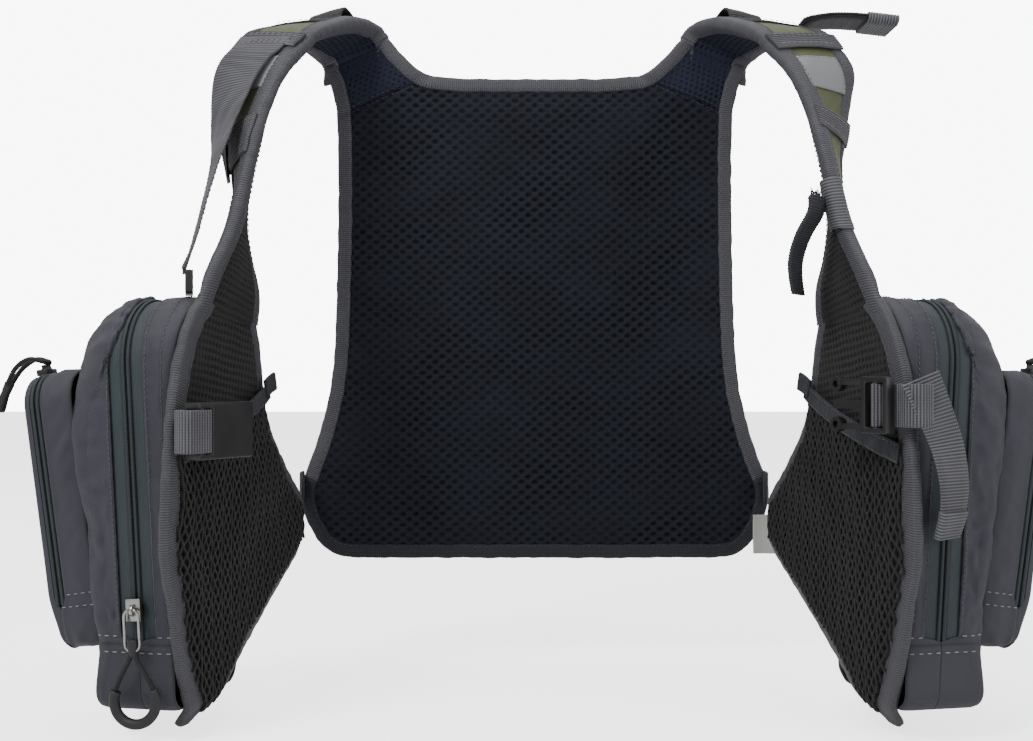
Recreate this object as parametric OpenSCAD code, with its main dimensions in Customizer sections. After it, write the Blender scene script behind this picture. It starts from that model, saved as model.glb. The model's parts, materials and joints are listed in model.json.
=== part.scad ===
// Fishing vest: a padded back panel, two shoulder straps and two front panels that each carry a
// zipped pouch with a smaller zipped pocket. Millimetres, +Z up, +Y towards the wearer's back.
// The origin is the centre of the back panel's face on the wearer's side.
// Heights named "above base" are measured from the plane of the pouch bases.

/* [Back panel] */
// Height of the origin above the pouch bases
origin_h = 240; // [220:1:260]
// Half width of the back panel at its waist
back_half_w = 150; // [140:1:160]
// Half width at the side wings
wing_half_w = 178; // [174:1:184]
// Height of the hem above base
hem_h = 61; // [55:1:70]
// Height of the neckline above base
neck_h = 424; // [415:1:430]
// Thickness of the padded back
back_t = 20; // [16:1:24]
// Width of the edge binding
binding_w = 11; // [8:1:14]

/* [Front panels] */
// Sideways distance of each panel's hinge line from the centre
hinge_x = 170; // [166:1:176]
// Distance of the hinge lines in front of the back panel
hinge_y = 20; // [18:1:26]
// Outward splay of the front panels, in degrees
splay = 11; // [5:1:15]
// Thickness of the front panels
panel_t = 8; // [6:1:8]

/* [Pouches] */
// Distance of the pouch from the hinge line
pouch_start = 108; // [100:1:116]
// Length of the pouch along the panel
pouch_len = 92; // [84:1:100]
// Height of the pouch
pouch_h = 247; // [230:1:260]
// Depth of the pouch at its base
pouch_base_d = 50; // [44:1:56]
// Depth of the pouch at its fullest
pouch_top_d = 72; // [66:1:76]
// Thickness of the pouch walls
wall = 2.4; // [1.6:0.2:3]
// Height of the pouch base that stays closed
base_h = 34; // [30:1:38]
// Length of the small outer pocket
pocket_len = 76; // [68:1:80]
// Height of the small outer pocket
pocket_h = 168; // [150:1:172]
// Depth of the small outer pocket
pocket_d = 31; // [26:1:34]

/* [Straps and hardware] */
// Thickness of the shoulder pads
pad_t = 9; // [6:1:10]
// Width of the front webbing and of its buckle's slots
webbing_w = 25; // [25:1:25]
// Length of the female buckle
buckle_len = 45; // [40:1:48]
// Height of both buckle halves across the webbing
buckle_w = 33; // [32:1:36]

/* [Hidden] */

clear = 0.3;            // gap left between neighbouring solids
navy = [0.07, 0.08, 0.13];
charcoal = [0.22, 0.22, 0.24];
slate = [0.33, 0.33, 0.40];
teal = [0.29, 0.35, 0.38];
olive = [0.42, 0.45, 0.28];
webbing_grey = [0.42, 0.42, 0.45];
reflective = [0.72, 0.73, 0.75];
black = [0.06, 0.06, 0.07];
nickel = [0.62, 0.62, 0.60];
white = [0.90, 0.90, 0.88];

// ---------- small helpers ----------
function unit(v) = v / norm(v);
function blend(a, b, t) = a + (b - a) * t;

// Point on the smooth curve through the points p, at s counted in whole points
function on_curve(p, s) =
    let (last = len(p) - 1, i = min(floor(s), last - 1), t = s - i)
    let (p0 = p[max(i - 1, 0)], p1 = p[i], p2 = p[i + 1], p3 = p[min(i + 2, last)])
    0.5 * (2 * p1 + (p2 - p0) * t + (2 * p0 - 5 * p1 + 4 * p2 - p3) * t * t
        + (3 * p1 - p0 - 3 * p2 + p3) * t * t * t);

// Corner of a rounded outline: arc about c from angle a0 to a1
function arc(c, r, a0, a1, steps = 8) =
    [for (i = [0:steps]) c + r * [cos(blend(a0, a1, i / steps)), sin(blend(a0, a1, i / steps))]];

// Rounded rectangle with its own radius for the two lower and the two upper corners
function round_rect(x0, y0, x1, y1, r_low, r_high) = concat(
    arc([x1 - r_low, y0 + r_low], r_low, -90, 0),
    arc([x1 - r_high, y1 - r_high], r_high, 0, 90),
    arc([x0 + r_high, y1 - r_high], r_high, 90, 180),
    arc([x0 + r_low, y0 + r_low], r_low, 180, 270));

// Closed solid through a row of rings that all have the same number of points.
// Each ring runs clockwise as seen along the direction of travel.
module skin(rings) {
    k = len(rings[0]);
    n = len(rings);
    points = [for (ring = rings) each ring];
    sides = [for (i = [0:n - 2], j = [0:k - 1])
        let (a = i * k + j, b = i * k + (j + 1) % k) each [[a, a + k, b + k], [a, b + k, b]]];
    first = [for (j = [0:k - 1]) j];
    last = [for (j = [k - 1:-1:0]) (n - 1) * k + j];
    polyhedron(points, concat([first], sides, [last]));
}

// Round cord of radius r along a list of points; side is any direction across the cord
module cord(path, r, side, facets = 10) {
    last = len(path) - 1;
    skin([for (i = [0:last])
        let (t = unit(path[min(i + 1, last)] - path[max(i - 1, 0)]))
        let (u = unit(cross(side, t)), v = cross(t, u))
        [for (j = [0:facets - 1]) path[i] + r * (cos(360 * j / facets) * u + sin(360 * j / facets) * v)]]);
}

// Lifts a shape that is drawn above the pouch bases into the part's frame
module from_base() { translate([0, 0, -origin_h]) children(); }

// Draws a right-hand shape on the side wanted: 1 is right, -1 is left
module on_side(side) {
    if (side > 0) from_base() children();
    else mirror([1, 0, 0]) from_base() children();
}

// Frame of a front panel: X forwards along the panel, Y outwards from the wearer, Z up
module on_panel(side) {
    on_side(side) translate([hinge_x, -hinge_y, 0]) rotate([0, 0, splay - 90]) children();
}

// Plate with its outline drawn in X and Z, from depth y0 to y1
module upright(y0, y1) { translate([0, y1, 0]) rotate([90, 0, 0]) linear_extrude(y1 - y0) children(); }

// Bar with its outline drawn in Y and Z, from x0 to x1
module lengthwise(x0, x1) {
    translate([x0, 0, 0]) rotate([90, 0, 90]) linear_extrude(x1 - x0) children();
}

// ---------- back panel ----------
// Right half of the outline, from the hem's centre up to the neck's centre
back_half = concat(
    [[0, hem_h], [138, hem_h]],
    arc([138, hem_h + 26], 26, -90, -30, 4),
    [[wing_half_w - 2, 102], [wing_half_w, 112], [wing_half_w - 3, 122], [164, 150],
     [back_half_w + 3, 195], [back_half_w, 256], [back_half_w - 1, 331], [back_half_w - 1, 392],
     [back_half_w + 2, 414], [160, 432]],
    [[112, 455], [100, 441], [88, 430], [74, neck_h + 1], [0, neck_h]]);
back_outline = concat(back_half, [for (i = [len(back_half) - 2:-1:1]) [-back_half[i][0], back_half[i][1]]]);
mesh_t = 4;
shell_t = 3;
yoke_low = 396;         // height where the yoke seam meets the side
yoke_high = 426;        // height where it meets the neckline

module back_shape(inset = 0) { offset(delta = -inset) polygon(back_outline); }

module yoke_region(gap) {
    for (m = [0, 1]) mirror([m, 0])
        polygon([[200, yoke_low + gap], [150, yoke_low + gap], [80, yoke_high + gap],
                 [80, 480], [200, 480]]);
}

module back_foam() {
    color(charcoal) from_base() upright(mesh_t + clear, back_t - shell_t - clear) back_shape(1);
}

// The face towards the wearer stands free of the edge tape; the margin goes under the tape
module back_mesh() {
    color(navy) from_base() difference() {
        union() {
            upright(0, mesh_t) back_shape(binding_w + clear);
            upright(1, mesh_t) back_shape(1);
        }
        upright(-1, mesh_t + 1) yoke_region(-clear);
    }
}

module yoke_mesh() {
    color([0.10, 0.11, 0.19]) from_base() upright(0, mesh_t) intersection() {
        back_shape(1);
        yoke_region(clear);
    }
}

module back_shell() {
    color(slate) from_base() upright(back_t - shell_t, back_t) back_shape(1);
}

// U-shaped tape that wraps the whole edge
module back_binding() {
    color(webbing_grey) from_base() difference() {
        upright(-1.5, back_t + 1.5) back_shape(-1.2);
        upright(-clear, back_t + clear) back_shape(1 - clear);
        upright(-5, back_t + 5) back_shape(binding_w);
    }
}

module care_label() {
    color(white) from_base() translate([163, -9, 66]) cube([17, 0.8, 29]);
}

// Short webbing that ties a side wing to its front panel, just behind the hinge line
module side_strap(side) {
    color(charcoal) on_side(side) translate([167.5, -10.5, 104]) cube([8.5, 8.5, 22]);
}

// ---------- shoulder straps ----------
// Edge on the neck side, from the back panel over the shoulder to the front panel's front edge
neck_edge = [[113, 14, 458.5], [121, 6, 467], [133, -22, 464], [150, -63, 446], [160, -78, 431],
    [172, -97, 410], [183, -116, 380], [190, -135, 345], [197, -156, 298], [207, -180, 262]];
// Edge on the arm side, ending at the front panel's rear edge
arm_edge = [[161, 14, 435.5], [170, 6, 444], [186, -20, 453], [203, -58, 444], [211, -66, 434],
    [221, -77, 411], [215, -84, 372], [208, -92, 335], [203, -104, 295], [191, -112, 254]];
split_start = 2.95;     // station where the rear part of the strap ends
split_end = 4.0;        // station where the part on the front panel starts
strap_end = 9;

function strap_along(s) =
    let (e = 0.05, a = max(s - e, 0), b = min(s + e, strap_end))
    unit(on_curve(neck_edge, b) + on_curve(arm_edge, b) - on_curve(neck_edge, a) - on_curve(arm_edge, a));
function strap_across(s) = on_curve(arm_edge, s) - on_curve(neck_edge, s);
function strap_out(s) = unit(cross(strap_along(s), strap_across(s)));
function strap_width(s) = norm(strap_across(s));
// Point at station s, w millimetres from the neck edge and d outside the strap's face
function on_strap(s, w, d) =
    on_curve(neck_edge, s) + unit(strap_across(s)) * w + strap_out(s) * d;

// Layer of the strap between two stations, its edges and faces given as [start, end] pairs
module strap_layer(s0, s1, w0, w1, d0, d1) {
    steps = ceil((s1 - s0) * 4);
    skin([for (i = [0:steps])
        let (t = i / steps, s = blend(s0, s1, t))
        let (wa = blend(w0[0], w0[1], t), wb = blend(w1[0], w1[1], t))
        let (da = blend(d0[0], d0[1], t), db = blend(d1[0], d1[1], t))
        [on_strap(s, wa, da), on_strap(s, wb, da), on_strap(s, wb, db), on_strap(s, wa, db)]]);
}

// Padded strap between two stations; its inner face goes from depth t0 to depth t1
module strap_core(s0, s1, t0, t1) {
    steps = ceil((s1 - s0) * 4);
    skin([for (i = [0:steps])
        let (s = blend(s0, s1, i / steps), w = strap_width(s), t = blend(t0, t1, i / steps))
        [on_strap(s, 0, -t), on_strap(s, w, -t), on_strap(s, w, 0), on_strap(s, 0, 0)]]);
}

// Rear part of the strap, cut off where it meets the tape on the back panel's top edge
module shoulder_pad(side) {
    color(olive) difference() {
        on_side(side) strap_core(0, split_start, pad_t, pad_t);
        from_base() upright(-3, back_t + 3) back_shape(-1.6);
    }
}

// Front part of the strap, which thins towards the front panel
module strap_pad(side) {
    color(olive) on_side(side) strap_core(split_end, strap_end, pad_t, panel_t - 1);
}

// Webbing loop on the rear of each shoulder, a low arch over the pad
module shoulder_loops() {
    color(black) for (side = [-1, 1]) on_side(side)
        skin([for (i = [0:12])
            let (t = i / 12, s = blend(0.9, 1.9, t), rise = 1 + 9 * sin(180 * t))
            [on_strap(s, 12, rise), on_strap(s, 37, rise), on_strap(s, 37, rise + 1.6),
             on_strap(s, 12, rise + 1.6)]]);
}

module shoulder_patches() {
    color(charcoal) for (side = [-1, 1]) on_side(side)
        strap_layer(2.05, 2.7, [8, 8], [46, 46], [clear, clear], [1.3, 1.3]);
}

module reflector(side) {
    color(reflective) on_side(side) strap_layer(4.75, 5.5, [7, 7], [42, 40], [2.5, 2.5], [3.2, 3.2]);
}

// Ribbed band stitched across the left strap
module strap_band() {
    color(webbing_grey) on_side(-1)
        strap_layer(6.25, 7, [2, 2], [44, 44], [2.2, 2.2], [4, 4]);
}

// Webbing keeper wrapped round the neck edge of the right strap
module strap_keeper() {
    color(webbing_grey) on_side(1) difference() {
        strap_layer(7.4, 8.1, [-2.5, -2.5], [16, 16], [-pad_t - 2.5, -pad_t - 2.5], [2.5, 2.5]);
        strap_layer(7.2, 8.3, [-0.8, -0.8], [20, 20], [-pad_t - 0.8, -pad_t - 0.8], [0.8, 0.8]);
    }
}

// Loose strap end that hangs inwards from the keeper
module strap_tail() {
    path = [[175, -152, 308], [168, -155, 290], [163, -156, 270], [163, -154, 251]];
    color(charcoal) on_side(1) skin([for (i = [0:12])
        let (p = on_curve(path, i / 4), across = [-0.55, -0.83, 0] * 12, thick = [0.83, -0.55, 0] * 1.5)
        [p - across - thick, p - across + thick, p + across + thick, p + across - thick]]);
}

// Wide webbing that hangs outside the left strap and turns edge-on down to its adjuster
module drape_webbing() {
    // across the strap and out from it, at its front edge and at its rear edge
    near = [[9, 1.6], [12, 5], [10, 9], [4, 14], [-5, 16], [-9, 10.9]];
    far = [[47, 1.6], [50, 5], [48, 9], [42, 15], [35, 21], [26.4, 28.3]];
    color(webbing_grey) on_side(-1) skin([for (i = [0:20])
        let (t = i / 4, a = on_curve(near, t), b = on_curve(far, t))
        let (sa = 4.05 + t * 0.948, sb = 4.05 + t * 0.918)
        [on_strap(sa, a[0], a[1]), on_strap(sb, b[0], b[1]),
         on_strap(sb, b[0], b[1] + 1.5), on_strap(sa, a[0], a[1] + 1.5)]]);
}

// Black ladder adjuster at the lower end of the hanging webbing
module drape_adjuster() {
    color(black) on_panel(-1) translate([170, 15, 251]) rotate([0, 0, 155]) difference() {
        cube([44, 5, 14]);
        translate([3, -1, 3]) cube([38, 7, 2.5]);
        translate([3, -1, 8.5]) cube([38, 7, 2.5]);
    }
}

// Webbing tab on the right shoulder, folded back at its outer end
module rod_tab() {
    color(webbing_grey) on_side(1) {
        path = [[196, -44, 452.8], [212, -45, 454.5], [232, -46, 453.5], [256, -47, 450.5]];
        skin([for (i = [0:12])
            let (p = on_curve(path, i / 4), half = [0, 18, 0], t = [0, 0, 1.6 + 0.12 * i])
            [p - half - t, p - half + t, p + half + t, p + half - t]]);
    }
}

// ---------- front panels ----------
// Outline in the panel frame: forwards, above base
panel_outline = [[0, 76], [50, 52], [106, 24], [158, -8], [170, -14], [179, -13], [190, 2], [200, 24],
    [208, 48], [215, 76], [220, 106], [222, 138], [218, 165], [211, 188], [202, 214], [186, 238],
    [165, 252], [95, 244], [84, 222], [79, 196], [68, 164], [34, 134], [8, 114], [0, 106]];
liner_t = 2;

module panel_shape(inset = 0) { offset(delta = -inset) polygon(panel_outline); }

module panel_shell(side) {
    color(slate) on_panel(side) upright(liner_t + clear, panel_t) panel_shape(1);
}

module panel_mesh(side) {
    color(charcoal) on_panel(side) upright(0, liner_t) panel_shape(1);
}

// Tape round the edge, on the wearer's side; the top edge belongs to the strap
module panel_binding(side) {
    color(webbing_grey) on_panel(side) difference() {
        upright(-1.4, panel_t) panel_shape(-1.2);
        upright(-clear, panel_t + 1) panel_shape(1 - clear);
        upright(-5, panel_t + 5) panel_shape(12);
        translate([60, -5, 241]) cube([120, 30, 40]);
    }
}

// Region of the net pocket below its slanted hem
module net_region(drop) {
    polygon([[0, -40], [240, -40], [240, 158 - drop], [214, 160 - drop], [79, 196 - drop], [0, 196 - drop]]);
}

module net_pocket(side) {
    color(charcoal) on_panel(side) upright(-4.5, -1.7) intersection() {
        panel_shape(13);
        net_region(12.5);
    }
}

module net_hem(side) {
    color(charcoal) on_panel(side) upright(-5, -1.7) intersection() {
        panel_shape(13);
        difference() {
            net_region(0);
            net_region(12.2);
        }
    }
}

// ---------- pouches ----------
pouch_end = pouch_start + pouch_len;
pouch_in = panel_t + clear;                 // face of the pouch against the panel
base_out = pouch_in + pouch_base_d;         // outer face at the base
full_out = pouch_in + pouch_top_d;          // outer face at its fullest
full_h = 188;                               // height where the pouch is fullest
corner_r = 42;                              // upper corners of the gusset

// Height-dependent middle line of the main zip
function zip_line(h) = 30 + (h - 46) / 18;

module pouch_front(inset) {
    polygon(round_rect(pouch_start + inset, inset, pouch_end - inset, pouch_h - inset,
                       14 - inset, corner_r - inset));
}

module pouch_section(inset) {
    offset(delta = -inset) polygon(concat(
        [[pouch_in, 0], [base_out - 4, 0], [base_out, 4], [base_out, base_h], [full_out, full_h]],
        arc([full_out - 40, pouch_h - 40], 40, 12, 90),
        [[pouch_in, pouch_h]]));
}

module pouch_solid(inset) {
    intersection() {
        upright(0, 130) pouch_front(inset);
        lengthwise(0, 260) pouch_section(inset);
    }
}

module pouch_walls() {
    difference() {
        pouch_solid(0);
        pouch_solid(wall);
    }
}

// Section of everything outside the zip and above the base
module lid_section(gap) {
    polygon([[zip_line(base_h) + gap, base_h + gap], [200, base_h + gap], [200, 300],
             [zip_line(300) + gap, 300]]);
}

module pouch_body(side) {
    color(slate) on_panel(side) difference() {
        pouch_walls();
        lengthwise(0, 260) lid_section(-clear / 2);
    }
}

module pouch_lid(side) {
    color(slate) on_panel(side) intersection() {
        pouch_walls();
        lengthwise(0, 260) lid_section(clear / 2);
    }
}

// Zip tape over the gusset: the band from a to b, measured outwards from the zip's middle line
module zip_band(a, b) {
    intersection() {
        difference() {
            upright(0, 130) pouch_front(-1.3);
            upright(-1, 131) pouch_front(-clear);
        }
        lengthwise(0, 260) polygon([[zip_line(48) + a, 48], [zip_line(48) + b, 48],
                                    [zip_line(300) + b, 300], [zip_line(300) + a, 300]]);
    }
}

module pouch_zip(side) { color(teal) on_panel(side) zip_band(-15, -0.2); }
module lid_zip(side) { color(teal) on_panel(side) zip_band(0.2, 15); }

// ---------- small outer pockets ----------
wall_tilt = atan2(full_out - base_out, full_h - base_h);
pocket_start = 116;
pocket_low = 3;
cover_low = 27;         // height of the pocket's base that stays closed
cover_depth = 23;       // depth of the fixed part of its gusset

// Frame on the lid's outer face: X forwards, Y outwards from the face, Z up the face
module on_lid(side) {
    on_panel(side) translate([0, base_out, base_h]) rotate([-wall_tilt, 0, 0]) children();
}

module pocket_solid(inset) {
    intersection() {
        upright(0, 60) polygon(round_rect(pocket_start + inset, pocket_low + inset,
            pocket_start + pocket_len - inset, pocket_low + pocket_h - inset, 12 - inset, 20 - inset));
        lengthwise(0, 260) offset(delta = -inset) polygon(concat(
            [[clear, 0], [20, 0], [pocket_d - 6, 12], [pocket_d, 40]],
            arc([pocket_d - 14, pocket_low + pocket_h - 14], 14, 0, 90, 4),
            [[clear, pocket_low + pocket_h]]));
    }
}

module pocket_walls() {
    difference() {
        pocket_solid(0);
        pocket_solid(wall);
    }
}

module cover_section(gap) {
    polygon([[cover_depth + gap, cover_low + gap], [90, cover_low + gap], [90, 260],
             [cover_depth + gap, 260]]);
}

module pocket_body(side) {
    color(slate) on_lid(side) difference() {
        pocket_walls();
        lengthwise(0, 260) cover_section(-clear / 2);
    }
}

module pocket_cover(side) {
    color(slate) on_lid(side) intersection() {
        pocket_walls();
        lengthwise(0, 260) cover_section(clear / 2);
    }
}

// ---------- zip sliders and pulls ----------
slider_h = 62;          // height of the parked main slider above base
slider_len = 13;
slider_w = 9;
slider_t = 4;
crown_r = 2.6;
wire_r = 0.9;
pull_axis = 2.7;        // height of the pull's turning axis above the slider body
pull_len = 24;

// Slider body in its own frame: X away from the tape, Z along the zip, with a crown for the pull
module slider() {
    translate([0, -slider_w / 2, -slider_len / 2]) cube([slider_t, slider_w, slider_len]);
    translate([slider_t, 0, 0]) rotate([90, 0, 0]) difference() {
        translate([0, 0, -1]) cylinder(h = 2, r = crown_r + 1, $fn = 32);
        translate([0.6, 0, -2]) cylinder(h = 4, r = crown_r - 1, $fn = 32);
        translate([-10, -10, -5]) cube([10, 20, 10]);
    }
}

// Places a shape at the main zip: the front gusset on the left pouch, the rear one on the right
module at_main_zip(side) {
    on_panel(side) {
        if (side < 0)
            translate([pouch_end + 1.6, zip_line(slider_h), slider_h])
                rotate([-atan(1 / 18), 0, 0]) children();
        else
            translate([pouch_start - 1.6, zip_line(slider_h), slider_h])
                rotate([-atan(1 / 18), 0, 0]) mirror([1, 0, 0]) children();
    }
}

module main_slider(side) { color(nickel) at_main_zip(side) slider(); }

// Wire frame: a long loop of round wire whose ends meet at the crown
module main_pull(side) {
    half = 4.6;
    shoulder = [0, 1.1 - half];
    heel = [0, half - pull_len];
    outline = concat(arc(shoulder, half, 70, 0, 4), arc(heel, half, 0, -180, 8),
                     arc(shoulder, half, 180, 110, 4));
    color(nickel) at_main_zip(side)
        cord([for (p = outline) [slider_t + pull_axis, p[0], p[1]]], wire_r, [1, 0, 0], 8);
}

// Cord through the wire frame, with a thick rubber grip on its lower bend
module main_cord(side) {
    drop = -pull_len + 6.6;
    color(black) at_main_zip(side) translate([slider_t + pull_axis, 0, drop]) {
        cord([[0, 0, 0], [0, 0, -4], [0, 0, -8]], 3, [1, 0, 0]);
        for (m = [-1, 1])
            cord([[0, m * 2.2, -8.3], [0, m * 8, -18], [0, m * 12, -27]], 1.5, [1, 0, 0], 8);
        cord([for (p = arc([0, -32], 13, 160, 380, 12)) [0, p[0], p[1] - 4]], 3.2, [1, 0, 0]);
    }
}

// Places a shape on top of the small pocket's cover, beside its zip
module at_pocket_zip(side) {
    on_lid(side) translate([166, cover_depth + 4.4, pocket_low + pocket_h + 0.4]) children();
}

module pocket_slider(side) {
    color(black) at_pocket_zip(side) {
        translate([-6, -4, 0]) cube([12, 8, 4]);
        translate([-1.2, -3, 4]) cube([2.4, 6, 3]);
    }
}

// Cord pull that falls outwards over the pocket's edge, with a moulded tip
module pocket_pull(side) {
    color(black) at_pocket_zip(side) {
        for (m = [-1, 1])
            cord([[m * 3, 0, 6], [m * 4.5, 9, 8.5], [m * 4, 19, 4], [m * 2.2, 27, -5]], 1.3, [1, 0, 0], 8);
        cord([[0, 28, -6.5], [0, 32, -13], [0, 35.5, -20]], 3, [1, 0, 0]);
    }
}

// ---------- front buckle ----------
edge_u = 227;           // buckle hinge line, just ahead of the panel's front edge
edge_n = -9;            // and towards the wearer
female_h = 168;
male_h = 183;
fold = 20;              // angle between a folded-back buckle and its panel

// Frame of a buckle half: X from the webbing towards the mouth or the prongs, Z across the webbing
module at_buckle(side, h) {
    on_panel(side) translate([edge_u, edge_n, h]) rotate([0, 0, 180 + fold]) children();
}

module buckle_female() {
    body_t = 12;
    color(black) at_buckle(-1, female_h) translate([9, 0, 0]) difference() {
        translate([0, -body_t / 2, -buckle_w / 2]) cube([buckle_len, body_t, buckle_w]);
        // mouth
        translate([14, -3.6, -buckle_w / 2 + 3]) cube([buckle_len, 7.2, buckle_w - 6]);
        // side windows where the prongs latch
        for (m = [-1, 1]) translate([17, -2.6, m * buckle_w / 2 - 6]) cube([15, 5.2, 12]);
        // slot behind the webbing bar
        translate([5.6, -8, -webbing_w / 2 - 0.5]) cube([5.4, 16, webbing_w + 1]);
        translate([-1, -8, -webbing_w / 2 - 0.5]) cube([2.4, 16, webbing_w + 1]);
    }
}

// Loop of webbing that ties the female half to the panel edge
module female_webbing() {
    color(webbing_grey) at_buckle(-1, female_h) difference() {
        translate([1, -7.4, -webbing_w / 2]) cube([18.8, 14.8, webbing_w]);
        translate([2.6, -6.3, -webbing_w]) cube([50, 12.6, webbing_w * 2]);
        translate([18.6, -20, -webbing_w]) cube([50, 40, webbing_w * 2]);
    }
}

male_plate = 20;
prong_root = 9 + male_plate;

module buckle_male() {
    color(black) at_buckle(1, male_h) translate([9, 0, 0]) {
        difference() {
            translate([0, -3.5, -buckle_w / 2]) cube([male_plate, 7, buckle_w]);
            for (x = [3, 11]) translate([x, -5, -webbing_w / 2 - 0.5]) cube([5.5, 10, webbing_w + 1]);
        }
        translate([male_plate, -2, -2.5]) cube([24, 4, 5]);
    }
}

// Sprung prong with its latch bulb, drawn for the upper side
module prong() {
    translate([prong_root + clear, -2, buckle_w / 2 - 5]) cube([20, 4, 3.4]);
    translate([prong_root + 21, 0, buckle_w / 2 - 4.5]) rotate([90, 0, 0]) difference() {
        translate([0, 0, -2.5]) cylinder(h = 5, r = 4.5, $fn = 32);
        translate([0, 0, -5]) cylinder(h = 10, r = 2.2, $fn = 32);
    }
}

module prong_upper() { color(black) at_buckle(1, male_h) prong(); }
module prong_lower() { color(black) at_buckle(1, male_h) mirror([0, 0, 1]) prong(); }

// Loose end of the male half's webbing, hanging outside the panel's front edge
module buckle_tail() {
    path = [[226, 5, 196], [229, 9, 180], [228, 15, 160], [224, 20, 140], [218, 24, 122], [213, 25, 106]];
    color(webbing_grey) on_panel(1) skin([for (i = [0:20])
        let (p = on_curve(path, i / 4), turn = 25 + 1.5 * i)
        let (across = [-sin(turn), cos(turn), 0] * webbing_w / 2, thick = [cos(turn), sin(turn), 0] * 0.8)
        [p - across - thick, p - across + thick, p + across + thick, p + across - thick]]);
}

back_foam();
back_mesh();
back_shell();
back_binding();
yoke_mesh();
shoulder_pad(-1);  // shoulder_pad_left
shoulder_pad(1);  // shoulder_pad_right
shoulder_loops();
shoulder_patches();
side_strap(-1);  // side_strap_left
side_strap(1);  // side_strap_right
care_label();
rod_tab();
panel_shell(-1);  // panel_shell_left
panel_shell(1);  // panel_shell_right
panel_mesh(-1);  // panel_mesh_left
panel_mesh(1);  // panel_mesh_right
panel_binding(-1);  // panel_binding_left
panel_binding(1);  // panel_binding_right
net_pocket(-1);  // net_pocket_left
net_pocket(1);  // net_pocket_right
net_hem(-1);  // net_hem_left
net_hem(1);  // net_hem_right
strap_pad(-1);  // strap_pad_left
strap_pad(1);  // strap_pad_right
reflector(-1);  // reflector_left
reflector(1);  // reflector_right
drape_webbing();
drape_adjuster();
strap_band();
strap_keeper();
strap_tail();
buckle_tail();
pouch_body(-1);  // pouch_body_left
pouch_body(1);  // pouch_body_right
pouch_zip(-1);  // pouch_zip_left
pouch_zip(1);  // pouch_zip_right
pouch_lid(-1);  // pouch_lid_left
pouch_lid(1);  // pouch_lid_right
lid_zip(-1);  // lid_zip_left
lid_zip(1);  // lid_zip_right
pocket_body(-1);  // pocket_body_left
pocket_body(1);  // pocket_body_right
pocket_cover(-1);  // pocket_cover_left
pocket_cover(1);  // pocket_cover_right
main_slider(-1);  // main_slider_left
main_slider(1);  // main_slider_right
main_pull(-1);  // main_pull_left
main_pull(1);  // main_pull_right
main_cord(-1);  // main_cord_left
main_cord(1);  // main_cord_right
pocket_slider(-1);  // pocket_slider_left
pocket_slider(1);  // pocket_slider_right
pocket_pull(-1);  // pocket_pull_left
pocket_pull(1);  // pocket_pull_right
buckle_female();
female_webbing();
buckle_male();
prong_upper();
prong_lower();
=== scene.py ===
"""Looks of the fishing vest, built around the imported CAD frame.

Scene units are metres. Sizes are written in millimetres and turned into metres by MM.
Panel coordinates are u (forwards along a front panel), n (outwards from the wearer) and
h (height above the pouch bases). Every piece of fabric, cord or thread carries a "weave"
attribute: its own flat coordinates in metres, which its material follows at every pose.
"""
import json
import math

import bpy
import numpy as np
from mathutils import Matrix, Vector


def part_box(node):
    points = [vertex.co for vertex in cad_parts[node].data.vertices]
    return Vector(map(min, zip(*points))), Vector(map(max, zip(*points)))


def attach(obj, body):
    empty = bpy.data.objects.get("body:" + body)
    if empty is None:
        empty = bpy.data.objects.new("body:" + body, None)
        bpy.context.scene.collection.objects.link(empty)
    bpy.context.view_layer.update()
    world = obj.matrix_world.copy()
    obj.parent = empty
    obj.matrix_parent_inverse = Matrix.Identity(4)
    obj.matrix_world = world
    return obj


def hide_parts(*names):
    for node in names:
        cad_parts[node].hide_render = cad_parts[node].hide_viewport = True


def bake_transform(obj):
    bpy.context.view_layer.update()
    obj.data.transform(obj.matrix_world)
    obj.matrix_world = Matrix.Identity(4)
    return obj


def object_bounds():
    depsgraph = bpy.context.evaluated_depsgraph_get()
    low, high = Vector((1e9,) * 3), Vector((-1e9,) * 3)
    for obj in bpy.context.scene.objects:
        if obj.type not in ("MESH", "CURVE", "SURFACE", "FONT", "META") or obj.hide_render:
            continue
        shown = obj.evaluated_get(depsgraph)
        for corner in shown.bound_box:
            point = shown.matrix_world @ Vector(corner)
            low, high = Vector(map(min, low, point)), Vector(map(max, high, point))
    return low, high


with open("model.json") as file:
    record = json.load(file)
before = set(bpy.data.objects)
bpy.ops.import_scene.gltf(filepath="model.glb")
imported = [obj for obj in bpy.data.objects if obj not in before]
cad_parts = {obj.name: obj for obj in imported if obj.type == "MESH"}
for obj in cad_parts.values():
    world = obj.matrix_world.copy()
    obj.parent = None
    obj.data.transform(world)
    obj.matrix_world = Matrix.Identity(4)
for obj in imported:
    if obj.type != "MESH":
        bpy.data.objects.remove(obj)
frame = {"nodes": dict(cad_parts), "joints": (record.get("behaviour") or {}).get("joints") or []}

CAD_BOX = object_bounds()
MM = 0.001
JOINTS = {j["name"]: j for j in frame["joints"]}
NAMES = {-1: "left", 1: "right"}
BASE_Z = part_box("pouch_body_left")[0].z


# ---------------------------------------------------------------- small maths
def smooth(x, a, b):
    """0 below a, 1 above b (or the reverse), with a soft step between."""
    t = np.clip((np.asarray(x, float) - a) / (b - a), 0, 1)
    return t * t * (3 - 2 * t)


def mix(a, b, t):
    return a + (b - a) * t


def unit(v):
    v = np.asarray(v, float)
    return v / np.maximum(np.linalg.norm(v, axis=-1, keepdims=True), 1e-12)


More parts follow.
